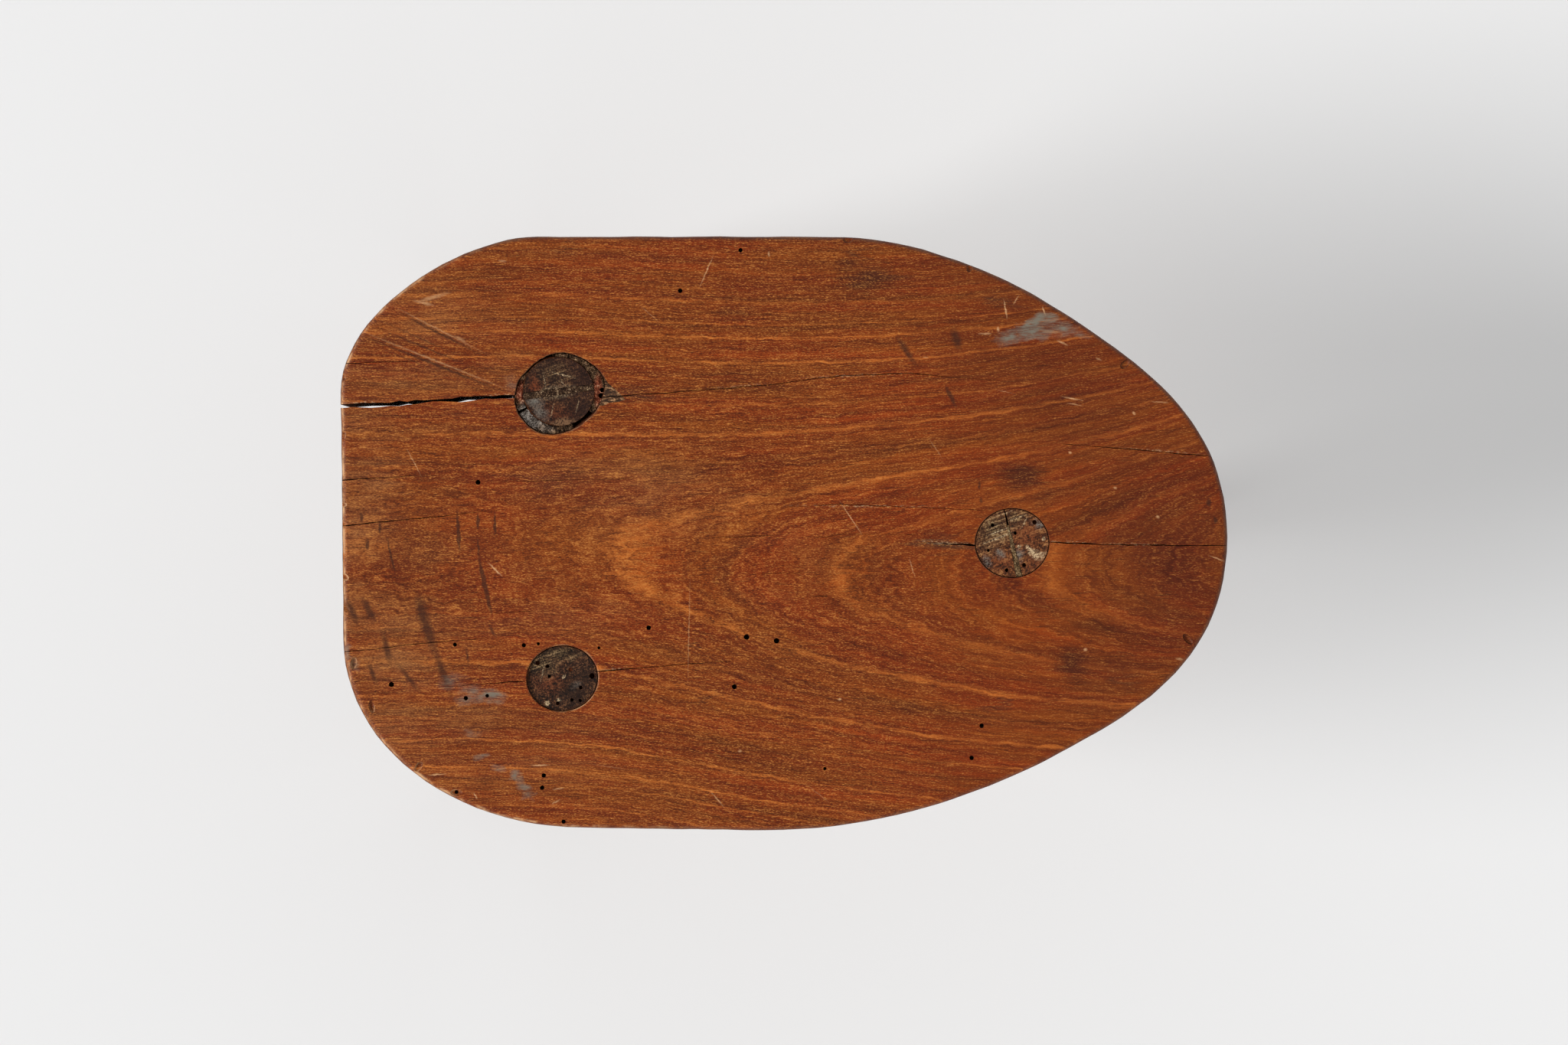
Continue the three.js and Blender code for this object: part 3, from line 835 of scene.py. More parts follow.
smudges = [
    (98.5, 24, 13, 8, 0, 1.5), (119.5, -54, 8, 11, 35, 1.4), (34, 105, 15, 7, 0, 1.3),
    (26, 112, 7, 5, 0, 1.0), (110, 15, 9, 5, 20, 0.8), (-20, 92, 12, 4, 5, 0.7), (52, -72, 8, 5, 0, 0.6),
    (-112, 88, 9, 5, 0, 0.6),
]
smudged = coat.math("MINIMUM", coat.spots(smudges, coat.bent(12, 7, 7, 3)), 1)
coat.lay(smudged * 0.62, 66, 27, 13)
worn_patches = [
    (-180, 10, 24, 130, 0, 0.8), (-160, -55, 40, 55, 0, 0.8), (-150, 75, 50, 36, 0, 0.7),
    (-125, -85, 60, 34, 0, 0.5), (-60, 20, 60, 26, 0, 0.45), (0, -14, 30, 20, 0, 0.35),
    (-100, -30, 60, 20, 0, 0.4),
]
thin = coat.fade(fibre * 0.5 + blotch * 1.5, -0.25, 0.35)
worn = coat.spots(worn_patches, uneven) * thin
coat.lay(worn * 0.9, 146, 96, 56)

grain = nap * 1.3 + hair * 0.85 + fibre * 0.75 - flecks * 0.15
grain = grain * coat.fade(coat.x, 10, 110, 1, 0.62)
coat.lay(coat.fade(grain, 0.0, 0.5, 0, 0.8), 206, 136, 66)
coat.lay(coat.fade(grain, 0.0, -0.42, 0, 0.82), 54, 20, 7)
coat.lay(coat.fade(pores, 0.13, 0.24, 0, 0.5), 50, 20, 7)

# Strokes burnt or dragged across it, all dark, then scratches down to pale wood
dark_strokes = [
    (-135.9, 8.6, -135, -7, 0.9, 1.6), (-135.3, -1, -135.2, -4, 1.1, 1.5),
    (-127.3, 7.6, -127.3, 2.9, 1.0, 1.5), (-120.3, 8.3, -120.3, -0.3, 0.7, 1.5),
    (-127, -10.2, -121.9, -32.8, 1.2, 1.7), (-127.4, -2, -127, -9, 0.6, 1.0),
    (-165.2, -1.9, -161.7, -16.6, 0.6, 1.2), (-168.1, 4.5, -168.1, 0.3, 0.8, 1.2),
    (-173.5, -2.9, -173.3, -6.1, 1.0, 1.3), (-175.8, 8.3, -175.6, 5.5, 0.9, 1.2),
    (-151.4, -31, -144.9, -50, 3.0, 1.0), (-145.5, -48, -138.5, -67, 2.4, 0.9),
    (-181.5, -28.7, -178, -36, 2.0, 1.1), (-174.8, -28, -170.7, -35.4, 1.9, 1.1),
    (47.5, 81.2, 54.2, 71, 1.8, 0.9), (67.6, 60.5, 71.1, 53.8, 1.3, 1.3),
    (70.8, 83.5, 72.4, 78.4, 2.6, 1.0), (81.3, 21.3, 81.3, 18.8, 0.8, 1.2),
    (81.9, 14.3, 82, 13.4, 0.9, 1.2), (176.6, 13.7, 176.7, 12.3, 1.3, 1.2),
    (179.4, 6.1, 179.5, 5, 1.2, 1.2), (-176.1, 82.6, -114, 58, 0.8, 1.0),
    (-170, 86, -128, 68.5, 0.7, 0.7), (-162.7, 93.2, -124.5, 73.7, 0.8, 0.9),
    (-168.5, 88.8, -135, 74, 0.6, 0.6), (-172.4, 79, -140, 66, 0.6, 0.5),
    (-166.5, -42, -164, -53.5, 1.9, 1.0), (-160.8, -54.2, -151.5, -66, 1.5, 0.8),
    (-172.6, -54.2, -169.7, -62, 1.4, 0.9), (-132.1, -47.8, -131.2, -54, 0.8, 0.9),
    (-122.8, -38, -120, -43, 0.9, 0.8), (-152, -27, -149.5, -38, 3.2, 0.9),
]
shaky = coat.bent(1.4, 1.4, 2.5, 2.5)
dark = coat.strokes(dark_strokes, shaky)
dark = coat.math("MINIMUM", dark * 1.5, 1)
coat.lay(dark * coat.fade(hair, -0.3, 0.25, 0.5, 0.9), 56, 29, 18)
scratches = [
    (-29.5, 115.3, -35, 102.9, 0.35, 1.6), (-6.3, 117, -6.2, 115.5, 0.6, 1.6),
    (-152, 96.5, -140, 100, 1.2, 1.1), (-153.5, 96.8, -146, 95, 0.9, 1.1),
    (-118.4, 113.4, -116, 113.2, 0.7, 1.3), (-136.6, 81.9, -133, 80, 1.0, 0.9),
    (-157, 35.4, -150.9, 23.9, 0.3, 1.2), (-122.9, -12.4, -117.5, -17.5, 0.5, 2.0),
    (23.3, 13.4, 32.3, -0.3, 0.32, 1.5), (52, -10.2, 54.6, -18.2, 0.3, 1.2),
    (-39.1, -19.1, -40, -61.5, 0.3, 0.8), (91.5, 97.2, 92.8, 89.5, 0.45, 1.7),
    (107.7, 94, 108.7, 90.8, 0.5, 1.7), (97.6, 99, 95.4, 95.5, 0.4, 1.3),
    (113.8, 80.3, 117.9, 78.4, 0.6, 1.4), (81.3, 83.1, 85.8, 83.2, 0.6, 1.4),
    (89, 85.5, 89.1, 84.5, 0.7, 1.6), (115.4, 57, 124, 55.4, 0.4, 1.7),
    (118, 54.2, 123.8, 53.2, 0.4, 1.2), (153, 54.8, 160, 54.5, 0.4, 1.0),
    (145.3, 50.3, 146, 49.8, 0.7, 1.5), (118.9, 33.8, 119.2, 33.4, 0.7, 1.6),
    (137.4, 19.1, 138, 19, 0.6, 1.6), (155.2, 7, 155.6, 6.8, 0.7, 1.4),
    (176.9, -9.2, 183.9, -11.8, 0.35, 1.2), (-105, -96.5, -98, -96.3, 0.45, 1.9),
    (-148, -100.5, -140.5, -100, 0.45, 1.4), (-96, -106.4, -92, -106, 0.4, 1.7),
    (-129, -108, -127.8, -110.4, 0.4, 1.7), (-96.4, -112.4, -93.4, -110.8, 0.45, 1.7),
    (22.9, -69, 23.4, -69, 0.7, 1.6), (125.2, -48.4, 125.6, -48.2, 0.8, 1.6),
    (163.4, -52, 166, -52.6, 0.7, 1.0), (-18.6, -90.5, -18.2, -90.4, 0.8, 1.3),
    (-31, -106.7, -24.8, -114, 0.35, 1.1), (-176, 84.2, -114, 59.6, 0.55, 0.8),
    (-162.7, 94.6, -124.5, 75.1, 0.5, 0.7), (58, 73.4, 60, 73.2, 0.4, 1.0),
    (106, 84.4, 116, 83.6, 0.8, 0.8), (130, 73, 131.8, 72, 0.5, 1.1), (88, 60, 96, 58, 0.3, 0.7),
    (-80, -96, -66, -98, 0.3, 0.6), (10, -105, 19, -112, 0.3, 0.6), (60, 40, 66, 31, 0.3, 0.6),
    (-60, 95, -52, 88, 0.3, 0.6),
]
pale = coat.strokes(scratches, coat.bent(0.9, 0.9, 1.6, 1.6))
coat.lay(pale * coat.fade(hair, -0.25, 0.2, 0.15, 0.8), 206, 158, 112)

# Along the open cracks the edges are worn and pale dirt has packed in
worn_cracks = [
    (-186, 53.9, -164, 54.9, 0.8, 1.3), (-124, 57.2, -112, 57.9, 0.9, 1.6),
    (110, -3.2, 128, -4, 0.8, 1.6), (132, -4.2, 160, -4.8, 0.7, 0.9), (-30, 60.4, -5, 62.4, 0.6, 0.8),
    (8, 64.8, 52, 66.8, 0.7, 1.2), (1, 11.6, 66, 11.2, 0.7, 0.9), (56, -3.2, 80, -4.6, 1.3, 1.3),
    (-79, -57, -66, -56, 0.7, 1.1), (137, 36, 176, 32.8, 0.6, 0.9),
]
crumbs = coat.fade(coat.cloud(1.6, 0.5, 0.6, roughness=0.7), -0.02, 0.16)
packed = coat.strokes(worn_cracks, coat.bent(0.6, 0.9, 2, 2))
coat.lay(coat.math("MINIMUM", packed, 1) * (crumbs * 0.8), 190, 150, 112)

# Splashes of grey-blue paint, rubbed thin
splashes = [
    (93.5, 81.9, 8, 4, 10, 1.3), (103.6, 87.2, 9, 4.6, 25, 1.9), (110.5, 89, 6, 3.6, 0, 1.5),
    (115.4, 85.4, 6, 3.6, 0, 1.2), (103.6, 82.9, 11, 3.6, 5, 1.5), (122, 83.5, 7, 2.6, -10, 0.7),
    (-138.5, -61.2, 7, 4, 10, 0.6), (-129, -66.5, 9, 4, -10, 0.8), (-122.5, -67.4, 8, 4, 0, 1.4),
    (-131, -69, 7, 2.6, 0, 0.8), (-125.7, -92.7, 4, 2, 0, 0.9), (-119, -97, 3.5, 2, -20, 0.8),
    (-112, -100.5, 4.5, 2.6, -40, 1.0), (-108, -104.5, 4.5, 2.6, -50, 1.1), (-106, -108.5, 3, 3, 0, 0.8),
    (-130, -83, 5, 1.6, -10, 0.5), (-181.8, -48.7, 2.5, 4, 0, 0.8), (-179.2, -53.8, 3, 3.5, 0, 0.6),
    (-112, 62, 6, 5, 0, 0.35),
]
smear = coat.spots(splashes, coat.bent(9, 7, 7, 4))
rubbed = coat.fade(hair * 0.9 + fibre * 0.8 + coat.cloud(4, 2, 2) * 0.8, -0.45, 0.3)
smear = coat.math("MINIMUM", smear * rubbed, 0.92)
coat.lay(smear, 116, 111, 98)

# Wear and grime on the rounded edges, the sides and the dry underside; the edges' dark rim is also painted
# shade, darkest away from the window
edge = coat.fade(coat.facing_z, 0.985, 0.8) * coat.fade(coat.z, 285, 296)
chipped = coat.fade(coat.cloud(7, 7, 3, detail=4, roughness=0.65), -0.1, 0.14)
rear_corner = coat.fade(coat.x, -20, -110) * coat.fade(coat.y, -60, -100)
bare = coat.math("MAXIMUM", coat.fade(coat.x, -100, -165), rear_corner)
tenon_rims = [(-90.5, -61.5, 19, 19, 0, 2), (-92.5, 57, 24, 22, 0, 1.2), (94.2, -4.6, 19, 19, 0, 0.9)]
bare = coat.math("MINIMUM", coat.math("MAXIMUM", bare, coat.spots(tenon_rims)), 1)
coat.lay(edge * chipped * (0.1 + bare * 0.75), 202, 156, 112)
# Dark rim along the edges: grime and painted shade, darker towards the left side, away from the window
edge_grime_and_shade = coat.fade(coat.y, -90, 40, 0.35, 1) * (0.55 - bare * 0.5)
coat.lay(edge * edge_grime_and_shade, 62, 32, 20)
side = coat.fade(coat.facing_z, 0.75, 0.35) * coat.fade(coat.facing_z, -0.75, -0.35)
coat.lay(side * coat.fade(blotch, -0.3, 0.3, 0.3, 0.7), 70, 36, 20)
endwise = side * coat.fade(coat.math("ABSOLUTE", coat.facing_x), 0.5, 0.85)
soaked = coat.cloud(1.2, 1.0, 0.5, shift=(5, 5, 5), detail=3, roughness=0.7)
coat.lay(endwise * coat.fade(soaked + bands * 0.5, 0.15, -0.2, 0.1, 0.85), 46, 25, 15)
tone_patches = side * coat.fade(blotch * 1.2 + streak * 0.8, 0.02, 0.3, 0, 0.4)
coat.lay(tone_patches, 150, 96, 54)
below = coat.fade(coat.facing_z, -0.4, -0.85)
planed = coat.cloud(0.9, 60, 9, turn=4)
tone = 0.5 + fibre * 0.6 + planed * 0.35 + blotch * 0.8 + bands * 0.5
dry = coat.shades(tone, (0.1, 92, 62, 40), (0.5, 140, 102, 68), (0.9, 176, 136, 96))
coat.colour = coat.mix(below, coat.colour, dry)

roughness = 0.5 + blotch * 0.15 + smear * 0.2 + below * 0.25
relief = hair * 0.8 + fibre * 0.5 - flecks * 0.4
coat.seal(coat.colour, roughness, relief, 0.1, specular=0.16)

# Inside its holes and cracks it is dark with painted shade and some dust, and where it has torn it is raw
# and splintered
coat = Finish(painted_shade_inside)
coarse = coat.cloud(8, 0.7, 0.7)
dust_and_shade = coat.shades(0.5 + coarse * 0.8, (0.3, 60, 30, 18), (0.7, 100, 54, 31))
coat.seal(dust_and_shade, 0.8, coarse, 0.2, specular=0.1)

coat = Finish(torn_wood)
shred = coat.cloud(3, 0.6, 0.6, detail=3, roughness=0.75)
shade = 0.5 + shred * 2.2 + coat.cloud(2, 2, 2) * 1.2
torn = coat.shades(shade, (0.25, 44, 30, 22), (0.5, 84, 56, 37), (0.62, 110, 76, 50), (0.8, 186, 142, 100))
coat.seal(torn, 0.8, shred, 0.5, specular=0.15)

# The legs: ash or beech billets shaved with a drawknife to eight soft flats, thickest a hand's breadth
# below the seat. Each goes up through its mortise, is sawn level and is held there by its taper.
swell_depth = 108
swell_diameter = 41
shank_depth = 200
shank_diameter = 37
foot_diameter = 31
flats = 8
flat_share = 0.957
flat_start = 30
leg_sides = 48
leg_stations = 40
tenon_below_seat = 7
foot_length = 14
past_floor = 10
spare_length = 8
end_rings = 14
end_share = 0.85
tenon_rim = 0.35
foot_rim = 1.6


def curve_through(points, place):
    """The height at a place of the smooth curve through points of (place, height)."""
    last = max(0, min(len(points) - 2, sum(1 for x, y in points[1:] if x <= place)))
    heights = [points[max(0, min(len(points) - 1, i))][1] for i in range(last - 1, last + 3)]
    start, end = points[last][0], points[last + 1][0]
    return curve_between(*heights, (place - start) / (end - start))


def joint_length(joint):
    """A leg's length along its line, from the seat top to the floor."""
    return (Vector((*joint["mortise"], seat_top)) - Vector((*joint["foot"], 0))).length


def tenon_length(joint):
    """How far down a leg its tenon reaches, to a little below the seat all round."""
    run = (Vector(joint["mortise"]) - Vector(joint["foot"])).length
    thickness = (seat_top - seat_underside) * joint_length(joint) / seat_top
    return thickness + joint["diameter"] / 2 * run / seat_top + tenon_below_seat


def leg_radius(joint, depth):
    """A leg's radius at a depth along its line, before it is shaved."""
    straight = tenon_length(joint)
    if depth < straight:
        return joint["diameter"] / 2 + depth * tenon_taper
    shape = [
        (straight, joint["diameter"] / 2 + straight * tenon_taper),
        (swell_depth, swell_diameter / 2),
        (shank_depth, shank_diameter / 2),
        (joint_length(joint) + past_floor, foot_diameter / 2),
    ]
    return curve_through(shape, depth)


def shave(piece, joint, seed):
    """Take the round billet down to flats that wander a little, as a drawknife leaves them."""
    start = tenon_length(joint)
    for vertex in piece.data.vertices:
        x, y, z = vertex.co / MM
        radius = math.hypot(x, y)
        if radius < 1:
            continue
        angle = math.atan2(y, x)
        flat = round(angle / (2 * math.pi / flats))
        wander = noise.noise(Vector((flat % flats * 3.7 + seed, z / 90, 0)))
        ripple = noise.noise(Vector((flat % flats * 5.1, z / 17, seed)))
        off = angle - flat * 2 * math.pi / flats - 0.12 * wander
        taken = (flat_share + 0.022 * wander + 0.004 * ripple) / math.cos(off)
        strength = max(0, min(1, (-z - start) / flat_start))
        strength = strength * strength * (3 - 2 * strength)
        scale = 1 + (min(1, taken) - 1) * strength
        vertex.co.x *= scale
        vertex.co.y *= scale * joint["shrinkage"]


def mark_end(piece, level):
    """In edit mode, select the flat end that was sawn at a level."""
    corners = piece.data.vertices
    mark_out(piece, "polygons", lambda face: all(lies_at(corners[i], level) for i in face.vertices))


def ease_rim(piece, level, width, segments):
    """Round the sharp rim of the flat end at a level."""
    mark_end(piece, level)
    bpy.ops.mesh.region_to_loop()
    bpy.ops.mesh.bevel(offset=width * MM, offset_type="OFFSET", segments=segments, affect="EDGES")
    put_down()


def dress_end(leg, joint, level, seed):
    """Set the sawn end out in rings and leave it as uneven as a saw and long wear do."""
    mark_end(leg, level)
    ring_width = end_share * joint["diameter"] / 2 / end_rings
    for _ in range(end_rings):
        bpy.ops.mesh.inset(thickness=ring_width * MM)
    bpy.ops.mesh.poke()
    put_down()
    for vertex in leg.data.vertices:
        if lies_at(vertex, level):
            x, y, z = vertex.co / MM
            broad = noise.noise(Vector((x / 6, y / 6, seed)))
            close = noise.noise(Vector((x / 1.7, y / 1.7, seed)))
            vertex.co.z -= (0.30 + 0.35 * broad + 0.18 * close) * MM


def shape_leg(name, joint, seed):
    """Draw a leg up from below the floor to above the seat, shave it, slant it and saw both ends level."""
    put_down()
    length = joint_length(joint)
    straight = tenon_length(joint)
    shank = length - foot_length - straight
    stations = [straight + shank * (1 - i / leg_stations) for i in range(leg_stations + 1)]
    stations = [length + spare_length, *stations, -spare_length]
    radius = leg_radius(joint, stations[0])
    bpy.ops.mesh.primitive_circle_add(
        vertices=leg_sides,
        radius=radius * MM,
        fill_type="NGON",
        location=(0, 0, -stations[0] * MM),
    )
    bpy.ops.object.transform_apply(location=True, rotation=True, scale=True)
    leg = bpy.context.object
    leg.name = name
    edit_all(leg)
    for below, above in zip(stations, stations[1:]):
        following = leg_radius(joint, above)
        bpy.ops.mesh.extrude_region_move(TRANSFORM_OT_translate={"value": (0, 0, (below - above) * MM)})
        bpy.ops.transform.resize(value=(following / radius, following / radius, 1))
        radius = following
    bpy.ops.mesh.select_all(action="SELECT")
    bpy.ops.mesh.normals_make_consistent(inside=False)
    put_down()
    shave(leg, joint, seed)
    slant_into_place(leg, joint)
    end = seat_top - joint["sunk"]
    saw_level(leg, end, -1)
    saw_level(leg, 0, 1)
    ease_rim(leg, end, tenon_rim, 2)
    dress_end(leg, joint, end, seed)
    ease_rim(leg, 0, foot_rim, 3)
    leg.data.materials.append(leg_wood)
    return leg


leg_wood = bpy.data.materials.new("shaved leg wood")
nose_leg = shape_leg("nose_leg_shaved", nose_joint, seed=3)
rear_left_leg = shape_leg("rear_left_leg_shaved", rear_left_joint, seed=11)
rear_right_leg = shape_leg("rear_right_leg_shaved", rear_right_joint, seed=23)

# Beetles have bored the ends of two tenons
nose_tenon_holes = [
    (86.7, 3.5, 1.6), (96.3, 0.3, 1.5), (104.2, 4.8, 1.9), (85.1, -7, 1.3), (92.8, -15.3, 1.7),
    (99.8, -13.1, 1.8),
]
rear_right_tenon_holes = [
    (-102.8, -53.8, 2.0), (-98.7, -55.1, 1.6), (-88.8, -56.7, 1.8), (-97.7, -59.6, 1.5),
    (-84.7, -64.3, 1.6), (-88.2, -69.1, 1.5), (-85.0, -69.6, 1.4), (-94.2, -70.7, 1.6),
    (-79.6, -59.2, 2.4),
]
for leg, holes in ((nose_leg, nose_tenon_holes), (rear_right_leg, rear_right_tenon_holes)):
    bore(leg, *[auger(x, y, seat_top, width, deepest=7) for x, y, width in holes])

# Two tenons are sawn down their middles for a wedge, thick at one side of the tenon and thin at the other
kerf_room = 0.08
kerf_past_end = 2
block_above = 10
nose_wedge_cut = {"turn": 12.6, "thick": 2.7, "thin": 0.2, "least": 0.8, "foot_share": 0.45, "depth": 26}
rear_wedge_cut = {"turn": -82, "thick": 3.1, "thin": 2.4, "least": 0.8, "foot_share": 0.4, "depth": 24}


def wedge_block(joint, cut, start, end, depth, room=0):
    """A tapered block that goes across a tenon from start to end and down to a depth."""
    put_down()
    bpy.ops.mesh.primitive_cube_add(size=1)
    block = bpy.context.object
    bpy.ops.object.mode_set(mode="EDIT")
    bpy.ops.mesh.subdivide(number_cuts=7)
    put_down()
    radius = joint["diameter"] / 2
    turn = math.radians(cut["turn"])
    for vertex in block.data.vertices:
        y = start + (vertex.co.y + 0.5) * (end - start)
        z = block_above - (0.5 - vertex.co.z) * (depth + block_above)
        thickness = cut["thick"] + (cut["thin"] - cut["thick"]) * (y + radius) / (2 * radius)
        taper = 1 + (cut["foot_share"] - 1) * -z / cut["depth"]
        x = 2 * vertex.co.x * (thickness * taper / 2 + room)
        across = x * math.cos(turn) - y * math.sin(turn)
        along = x * math.sin(turn) + y * math.cos(turn)
        vertex.co = Vector((across, along, z)) * MM
    return slant_into_place(block, joint)


def saw_kerf(leg, joint, cut):
    reach = joint["diameter"] / 2 + kerf_past_end
    bore(leg, wedge_block(joint, cut, -reach, reach, cut["depth"] + kerf_past_end, kerf_room))


saw_kerf(nose_leg, nose_joint, nose_wedge_cut)
saw_kerf(rear_left_leg, rear_left_joint, rear_wedge_cut)


billets_apart = 40
ridge_start = 20


def mark_billet(leg, joint):
    """Keep each point's place in the straight billet, for the grain, and how near it is to a ridge."""
    top, foot, lean = leg_line(joint)
    upright = lean.inverted()
    leg.data.attributes.new("billet", "FLOAT_VECTOR", "POINT")
    leg.data.attributes.new("ridge", "FLOAT", "POINT")
    kept = leg.data.attributes
    for vertex, place, edge in zip(leg.data.vertices, kept["billet"].data, kept["ridge"].data):
        x, y, z = upright @ (vertex.co - top) / MM
        place.vector = (x + joint["diameter"] * billets_apart, y, z)
        turn = math.atan2(y / joint["shrinkage"], x) / (2 * math.pi) * flats
        is_flat = z < -tenon_length(joint) - ridge_start
        edge.value = 1 - 4 * abs(turn % 1 - 0.5) if is_flat else 0


for leg, joint in zip((nose_leg, rear_left_leg, rear_right_leg), joints):
    mark_billet(leg, joint)
finish_piece(nose_leg, "nose_leg")
finish_piece(rear_left_leg, "rear_left_leg")
finish_piece(rear_right_leg, "rear_right_leg")

# Leg wood: stained like the seat, rubbed pale on the ridges between its flats and scuffed at the feet.
# The tenon ends show end grain, nearly black-brown, with saw marks, smears of paint and filled holes.
coat = Finish(leg_wood)
billet = coat.node("ShaderNodeAttribute", attribute_name="billet", out="Vector")
streak = coat.cloud(1.6, 1.6, 90, places=billet, detail=3, roughness=0.6)
thread = coat.cloud(0.45, 0.45, 9, places=billet, roughness=0.6)
cloudy = coat.cloud(16, 16, 45, places=billet, detail=3)
tone = 0.5 + streak * 0.7 + thread * 0.7 + cloudy * 0.5
coat.colour = coat.shades(
    tone, (0.15, 50, 24, 11), (0.4, 86, 43, 19), (0.6, 112, 59, 27), (0.85, 150, 92, 50),
)
ridge = coat.node("ShaderNodeAttribute", attribute_name="ridge", out="Fac")
rubbed = coat.fade(ridge, 0.2, 0.95) * coat.fade(cloudy + streak * 0.7, -0.16, 0.2, 0, 0.6)
coat.lay(rubbed, 158, 100, 56)
knocks = coat.cloud(4, 4, 7, places=billet, detail=3, roughness=0.7)
coat.lay(coat.fade(knocks, 0.17, 0.27, 0, 0.7), 38, 19, 10)
scuffed = coat.fade(coat.z, 26, 4) * coat.fade(cloudy + thread * 0.6, -0.2, 0.2, 0.2, 0.85)
coat.lay(scuffed, 142, 112, 84)
# The legs are darker in patches just below the seat
tone_patches = coat.fade(coat.z, 235, 262) * coat.fade(cloudy, -0.2, 0.2, 0.3, 0.8)
coat.lay(tone_patches, 52, 27, 16)
shank = coat.colour

pith = coat.cloud(0.8, 0.8, 0.8, detail=3, roughness=0.8)
patch = coat.cloud(3.2, 3.2, 3.2, detail=3, roughness=0.6)
sawn = coat.cloud(16, 0.75, 3, turn=20)
dull = 0.5 + pith * 1.9 + patch * 1.0 + sawn * 0.4
black_end = coat.shades(dull, (0.1, 14, 7, 4), (0.4, 40, 22, 13), (0.6, 66, 38, 23), (0.9, 128, 88, 56))
rough = dull + sawn * 0.5
brown_end = coat.shades(
    rough, (0.1, 34, 16, 8), (0.4, 78, 41, 20), (0.6, 112, 62, 30), (0.9, 172, 120, 72),
)
coat.colour = coat.mix(coat.fade(coat.x, 0, 20) * 0.85, black_end, brown_end)
ragged = coat.bent(5, 5, 2.4, 2.4)
broken = coat.fade(pith * 1.6 + patch * 0.8, -0.3, 0.22)


def patches(marks, share):
    """Soft-edged, broken patches on the tenon ends."""
    return coat.spots(marks, ragged) * share * broken


black_ends = [
    (-87, -67, 9, 8, 0, 1.2), (-90, -61, 6, 6, 0, 0.6), (-83, -60, 5, 6, 0, 1.2),
    (-93, 58, 14, 3.5, 8, 1.0), (-86, 62, 6, 9, 0, 0.8), (-85, 52, 7, 7, 0, 0.9),
    (-94, 71, 10, 3, 0, 0.7),
]
coat.lay(patches(black_ends, 0.85), 24, 15, 11)
coat.lay(coat.fade(coat.x, -40, -60) * coat.fade(coat.y, 20, 40, 0, 0.28), 44, 16, 8)
olive_ends = [
    (88, 2, 10, 9, 20, 1.6), (96, 6, 8, 5, 0, 1.3), (84, -3, 6, 8, 0, 0.9), (-100, -55, 8, 7, 0, 1.4),
    (-93, -50, 10, 4, 0, 1.4), (-96, 66, 10, 6, 0, 0.6),
]
tone = 0.5 + sawn * 2.2 + pith * 1.0
saw_marks = coat.shades(tone, (0.2, 44, 32, 20), (0.5, 92, 74, 48), (0.8, 166, 138, 98))
coat.colour = coat.mix(patches(olive_ends, 0.8), coat.colour, saw_marks)
red_ends = [
    (-98, -62, 9, 6, 0, 1.0), (-95, 50, 10, 5, 0, 0.7), (101, -1, 8, 8, 0, 1.1), (90, -12, 9, 6, 0, 1.1),
    (-104, 61, 3.5, 7, 0, 1.5), (104, -13, 6, 6, 0, 1.0),
]
coat.lay(patches(red_ends, 0.75), 114, 54, 26)
painted_ends = [
    (106.2, 3.8, 3.6, 2.4, -20, 1.8), (89.6, -8.3, 3.2, 2.6, 0, 1.4), (97.6, -8.9, 2.6, 3.8, 0, 1.4),
    (84.5, -12.1, 3.6, 2.4, -50, 1.6), (-104, 55, 4.5, 3.5, 0, 1.3), (-101.5, 50.5, 6, 3.5, -50, 1.2),
    (-86.5, -63, 3, 2.4, 0, 0.6),
]
coat.lay(patches(painted_ends, 0.8), 108, 106, 98)
filled_ends = [(-92.3, 45.6, 6.5, 3.0, 8, 2.2)]
coat.lay(patches(filled_ends, 0.9), 116, 84, 58)
pale_ends = [
    (102.4, -6.6, 3.4, 1.2, -42, 2.0), (104.6, -8.6, 4.4, 2.4, -30, 2.4), (107.2, -9.0, 3, 1.8, 10, 2.0),
    (97.9, -5.4, 1.0, 1.0, 0, 4), (108.1, -2.2, 1.0, 1.0, 0, 4), (-91.7, -59.6, 1.6, 0.6, 50, 2.5),
    (-98.6, -70.6, 1.4, 1.2, 0, 3), (-93.8, -69.4, 1.2, 0.9, 0, 2.4), (90, 1.2, 7, 0.5, 20, 1.8),
    (88, -2.4, 7, 0.45, 20, 1.8), (91.5, -0.8, 5, 0.4, 20, 1.6), (97, 6.6, 5, 0.45, 20, 1.6),
    (100, 4.6, 4, 0.35, 60, 1.2), (92, 8.4, 5, 0.4, 20, 1.5), (-100.5, -58, 0.4, 5, -12, 1.2),
    (-92, 66, 6, 0.5, -14, 1.4), (-99.6, 63.5, 0.4, 5, 8, 1.1), (-92.2, 62.6, 0.4, 2.2, 30, 1.6),
    (-96.5, 51, 0.35, 4, -12, 0.9), (-86, 53, 0.35, 4, -12, 0.9), (-95, 58.8, 11, 3.4, 8, 1.1),
]
flecked = coat.spots(pale_ends, coat.bent(1, 1, 1.2, 1.2))
coat.lay(flecked * coat.fade(pith, -0.06, 0.12, 0.05, 0.9), 196, 168, 130)

top_end = coat.fade(coat.z, 297.2, 297.9) * coat.fade(coat.facing_z, 0.5, 0.8)
feet = coat.fade(coat.facing_z, -0.6, -0.9)
coat.colour = coat.mix(top_end, shank, coat.colour)
coat.colour = coat.mix(feet, coat.colour, coat.shades(dull, (0.2, 64, 50, 40), (0.8, 134, 112, 92)))
ends = coat.math("MAXIMUM", top_end, feet)
roughness = 0.46 + ends * 0.3 + scuffed * 0.2
relief = (pith + sawn * 0.8) * ends + (thread + streak) * 0.5
coat.seal(coat.colour, roughness, relief, 0.22, specular=0.16)

# The wedges: thin tapered pieces split from dry wood and driven into the kerfs to spread two tenons. They
# have shrunk and crumbled since.
crumb_size = 0.32
crumbling_depth = 3


